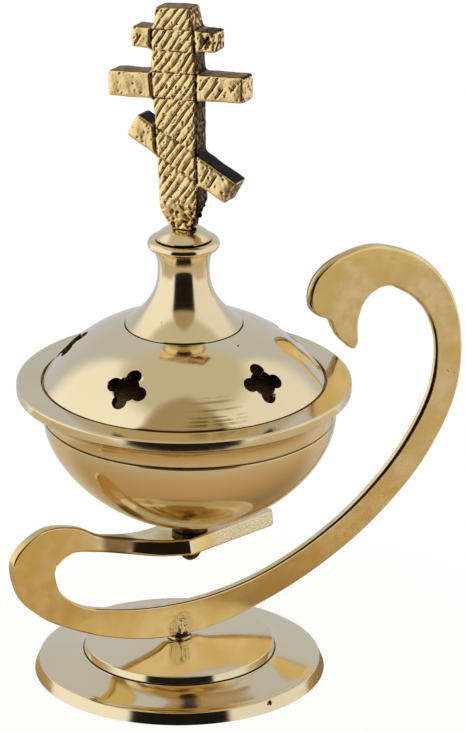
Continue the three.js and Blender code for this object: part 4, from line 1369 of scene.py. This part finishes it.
# %% Faults of the casting, and painted shade on its sides
def faults_at(spot, normal):
    """The faults and the painted shade at a place of the cross: its lump in mm, and its share of each of the
    others.

    Where the share of painted shade is below 0 it paints light instead, which also brightens a cut there.
    """
    u, v = spot.x, spot.z
    lump = noise.noise(spot * 0.35) * 0.14 + noise.noise(spot * 1.6) * 0.025
    pit = rise_between(noise.noise(spot * 1.9 + Vector((5, 1, 9))), 0.50, 0.66)
    stem = rise_between(v, STEM_TOP + 1.5, STEM_TOP - 1.5)
    rough = stem * rise_between(noise.noise(spot * 0.9 + Vector((2, 7, 4))) + u * 0.06, -0.15, 0.45)
    torn = rise_between(noise.noise(spot * 0.8 + Vector((8, 3, 1))), -0.2, 0.2)
    broken = rise_between(u, 7.6, 8.8) * rise_between(v, 43.0, 44.0) * torn
    # Painted shade on the sides that face right and up, lighter on the right arm and near the top.
    level = rise_between(normal.z, -0.9, -0.2) * rise_between(normal.z, 0.5, 0.2)
    paler = 0.42 * rise_between(u, 7.5, 9.5) * level + 0.22 * rise_between(v, 42.0, 48.0)
    right_side, top_side = rise_between(normal.x, 0.3, 0.7), rise_between(normal.z, 0.5, 0.85)
    side_shade = right_side * (0.74 - paler + 0.45 * noise.noise(spot * 1.1)) + top_side * 0.5
    return lump, pit, rough, broken, side_shade


# %% Press the cuts and the faults in
CUT_DEPTH = 0.34
PIT_DEPTH = 0.35
STEM_ROUGHNESS = 0.7
BREAK_DEPTH = 0.35
STEM_THICKNESS = 0.62
FRONT_PATTERN, BACK_PATTERN = 3.0, 11.0

surface_before = [(vertex.co.copy(), vertex.normal.copy()) for vertex in cross.data.vertices]
darkness_of_points = []
for vertex, (place, normal) in zip(cross.data.vertices, surface_before):
    spot = place / MM
    u, across, v = spot
    front_share = rise_between(abs(normal.y), 0.5, 0.85)
    depth = 0.0
    if front_share > 0:
        depth = cut_at(u, v, FRONT_PATTERN if across < 0 else BACK_PATTERN) * front_share
    lump, pit, rough, broken, side_shade = faults_at(spot, normal)
    sunk = CUT_DEPTH * depth + PIT_DEPTH * pit + STEM_ROUGHNESS * rough + BREAK_DEPTH * broken * front_share
    vertex.co = place - normal * (sunk - lump) * MM
    vertex.co.y *= STEM_THICKNESS + (1 - STEM_THICKNESS) * rise_between(v, 0.0, STEM_TOP)
    # Cuts, pits, the rough stem and the broken patch are real darkening; the sides' share is painted shade.
    darkness = 0.85 * depth + 0.8 * pit + side_shade + 0.75 * rough + 0.6 * broken
    darkness_of_points.append(max(0.0, min(1.0, darkness)))
darkness_of_cuts_and_shade = cross.data.attributes.new("darkness_of_cuts_and_shade", "FLOAT", "POINT")
darkness_of_cuts_and_shade.data.foreach_set("value", darkness_of_points)
print("cross vertices:", len(darkness_of_points))

# %% Stand the cross on its disc
stand = (
    Matrix.Translation((lid_axis * MM, 0, CROSS_BOTTOM * MM))
    @ Matrix.Rotation(CROSS_TURN, 4, "Z")
    @ Matrix.Rotation(-CROSS_BACK, 4, "X")
    @ Matrix.Rotation(-CROSS_LEAN, 4, "Y")
)
cross.data.transform(stand)
bpy.ops.object.mode_set(mode="EDIT")
bpy.ops.mesh.select_all(action="SELECT")
bpy.ops.mesh.bisect(plane_co=(0, 0, CROSS_BOTTOM * MM), plane_no=(0, 0, 1), clear_inner=True,
                    use_fill=True, threshold=SAME_POINT)
bpy.ops.object.mode_set(mode="OBJECT")
mend()
bpy.ops.object.shade_smooth()
cross.data.materials.clear()
cross.data.materials.append(cast_brass)
hand_in(cross, "lid_assembly", "cross_finial")
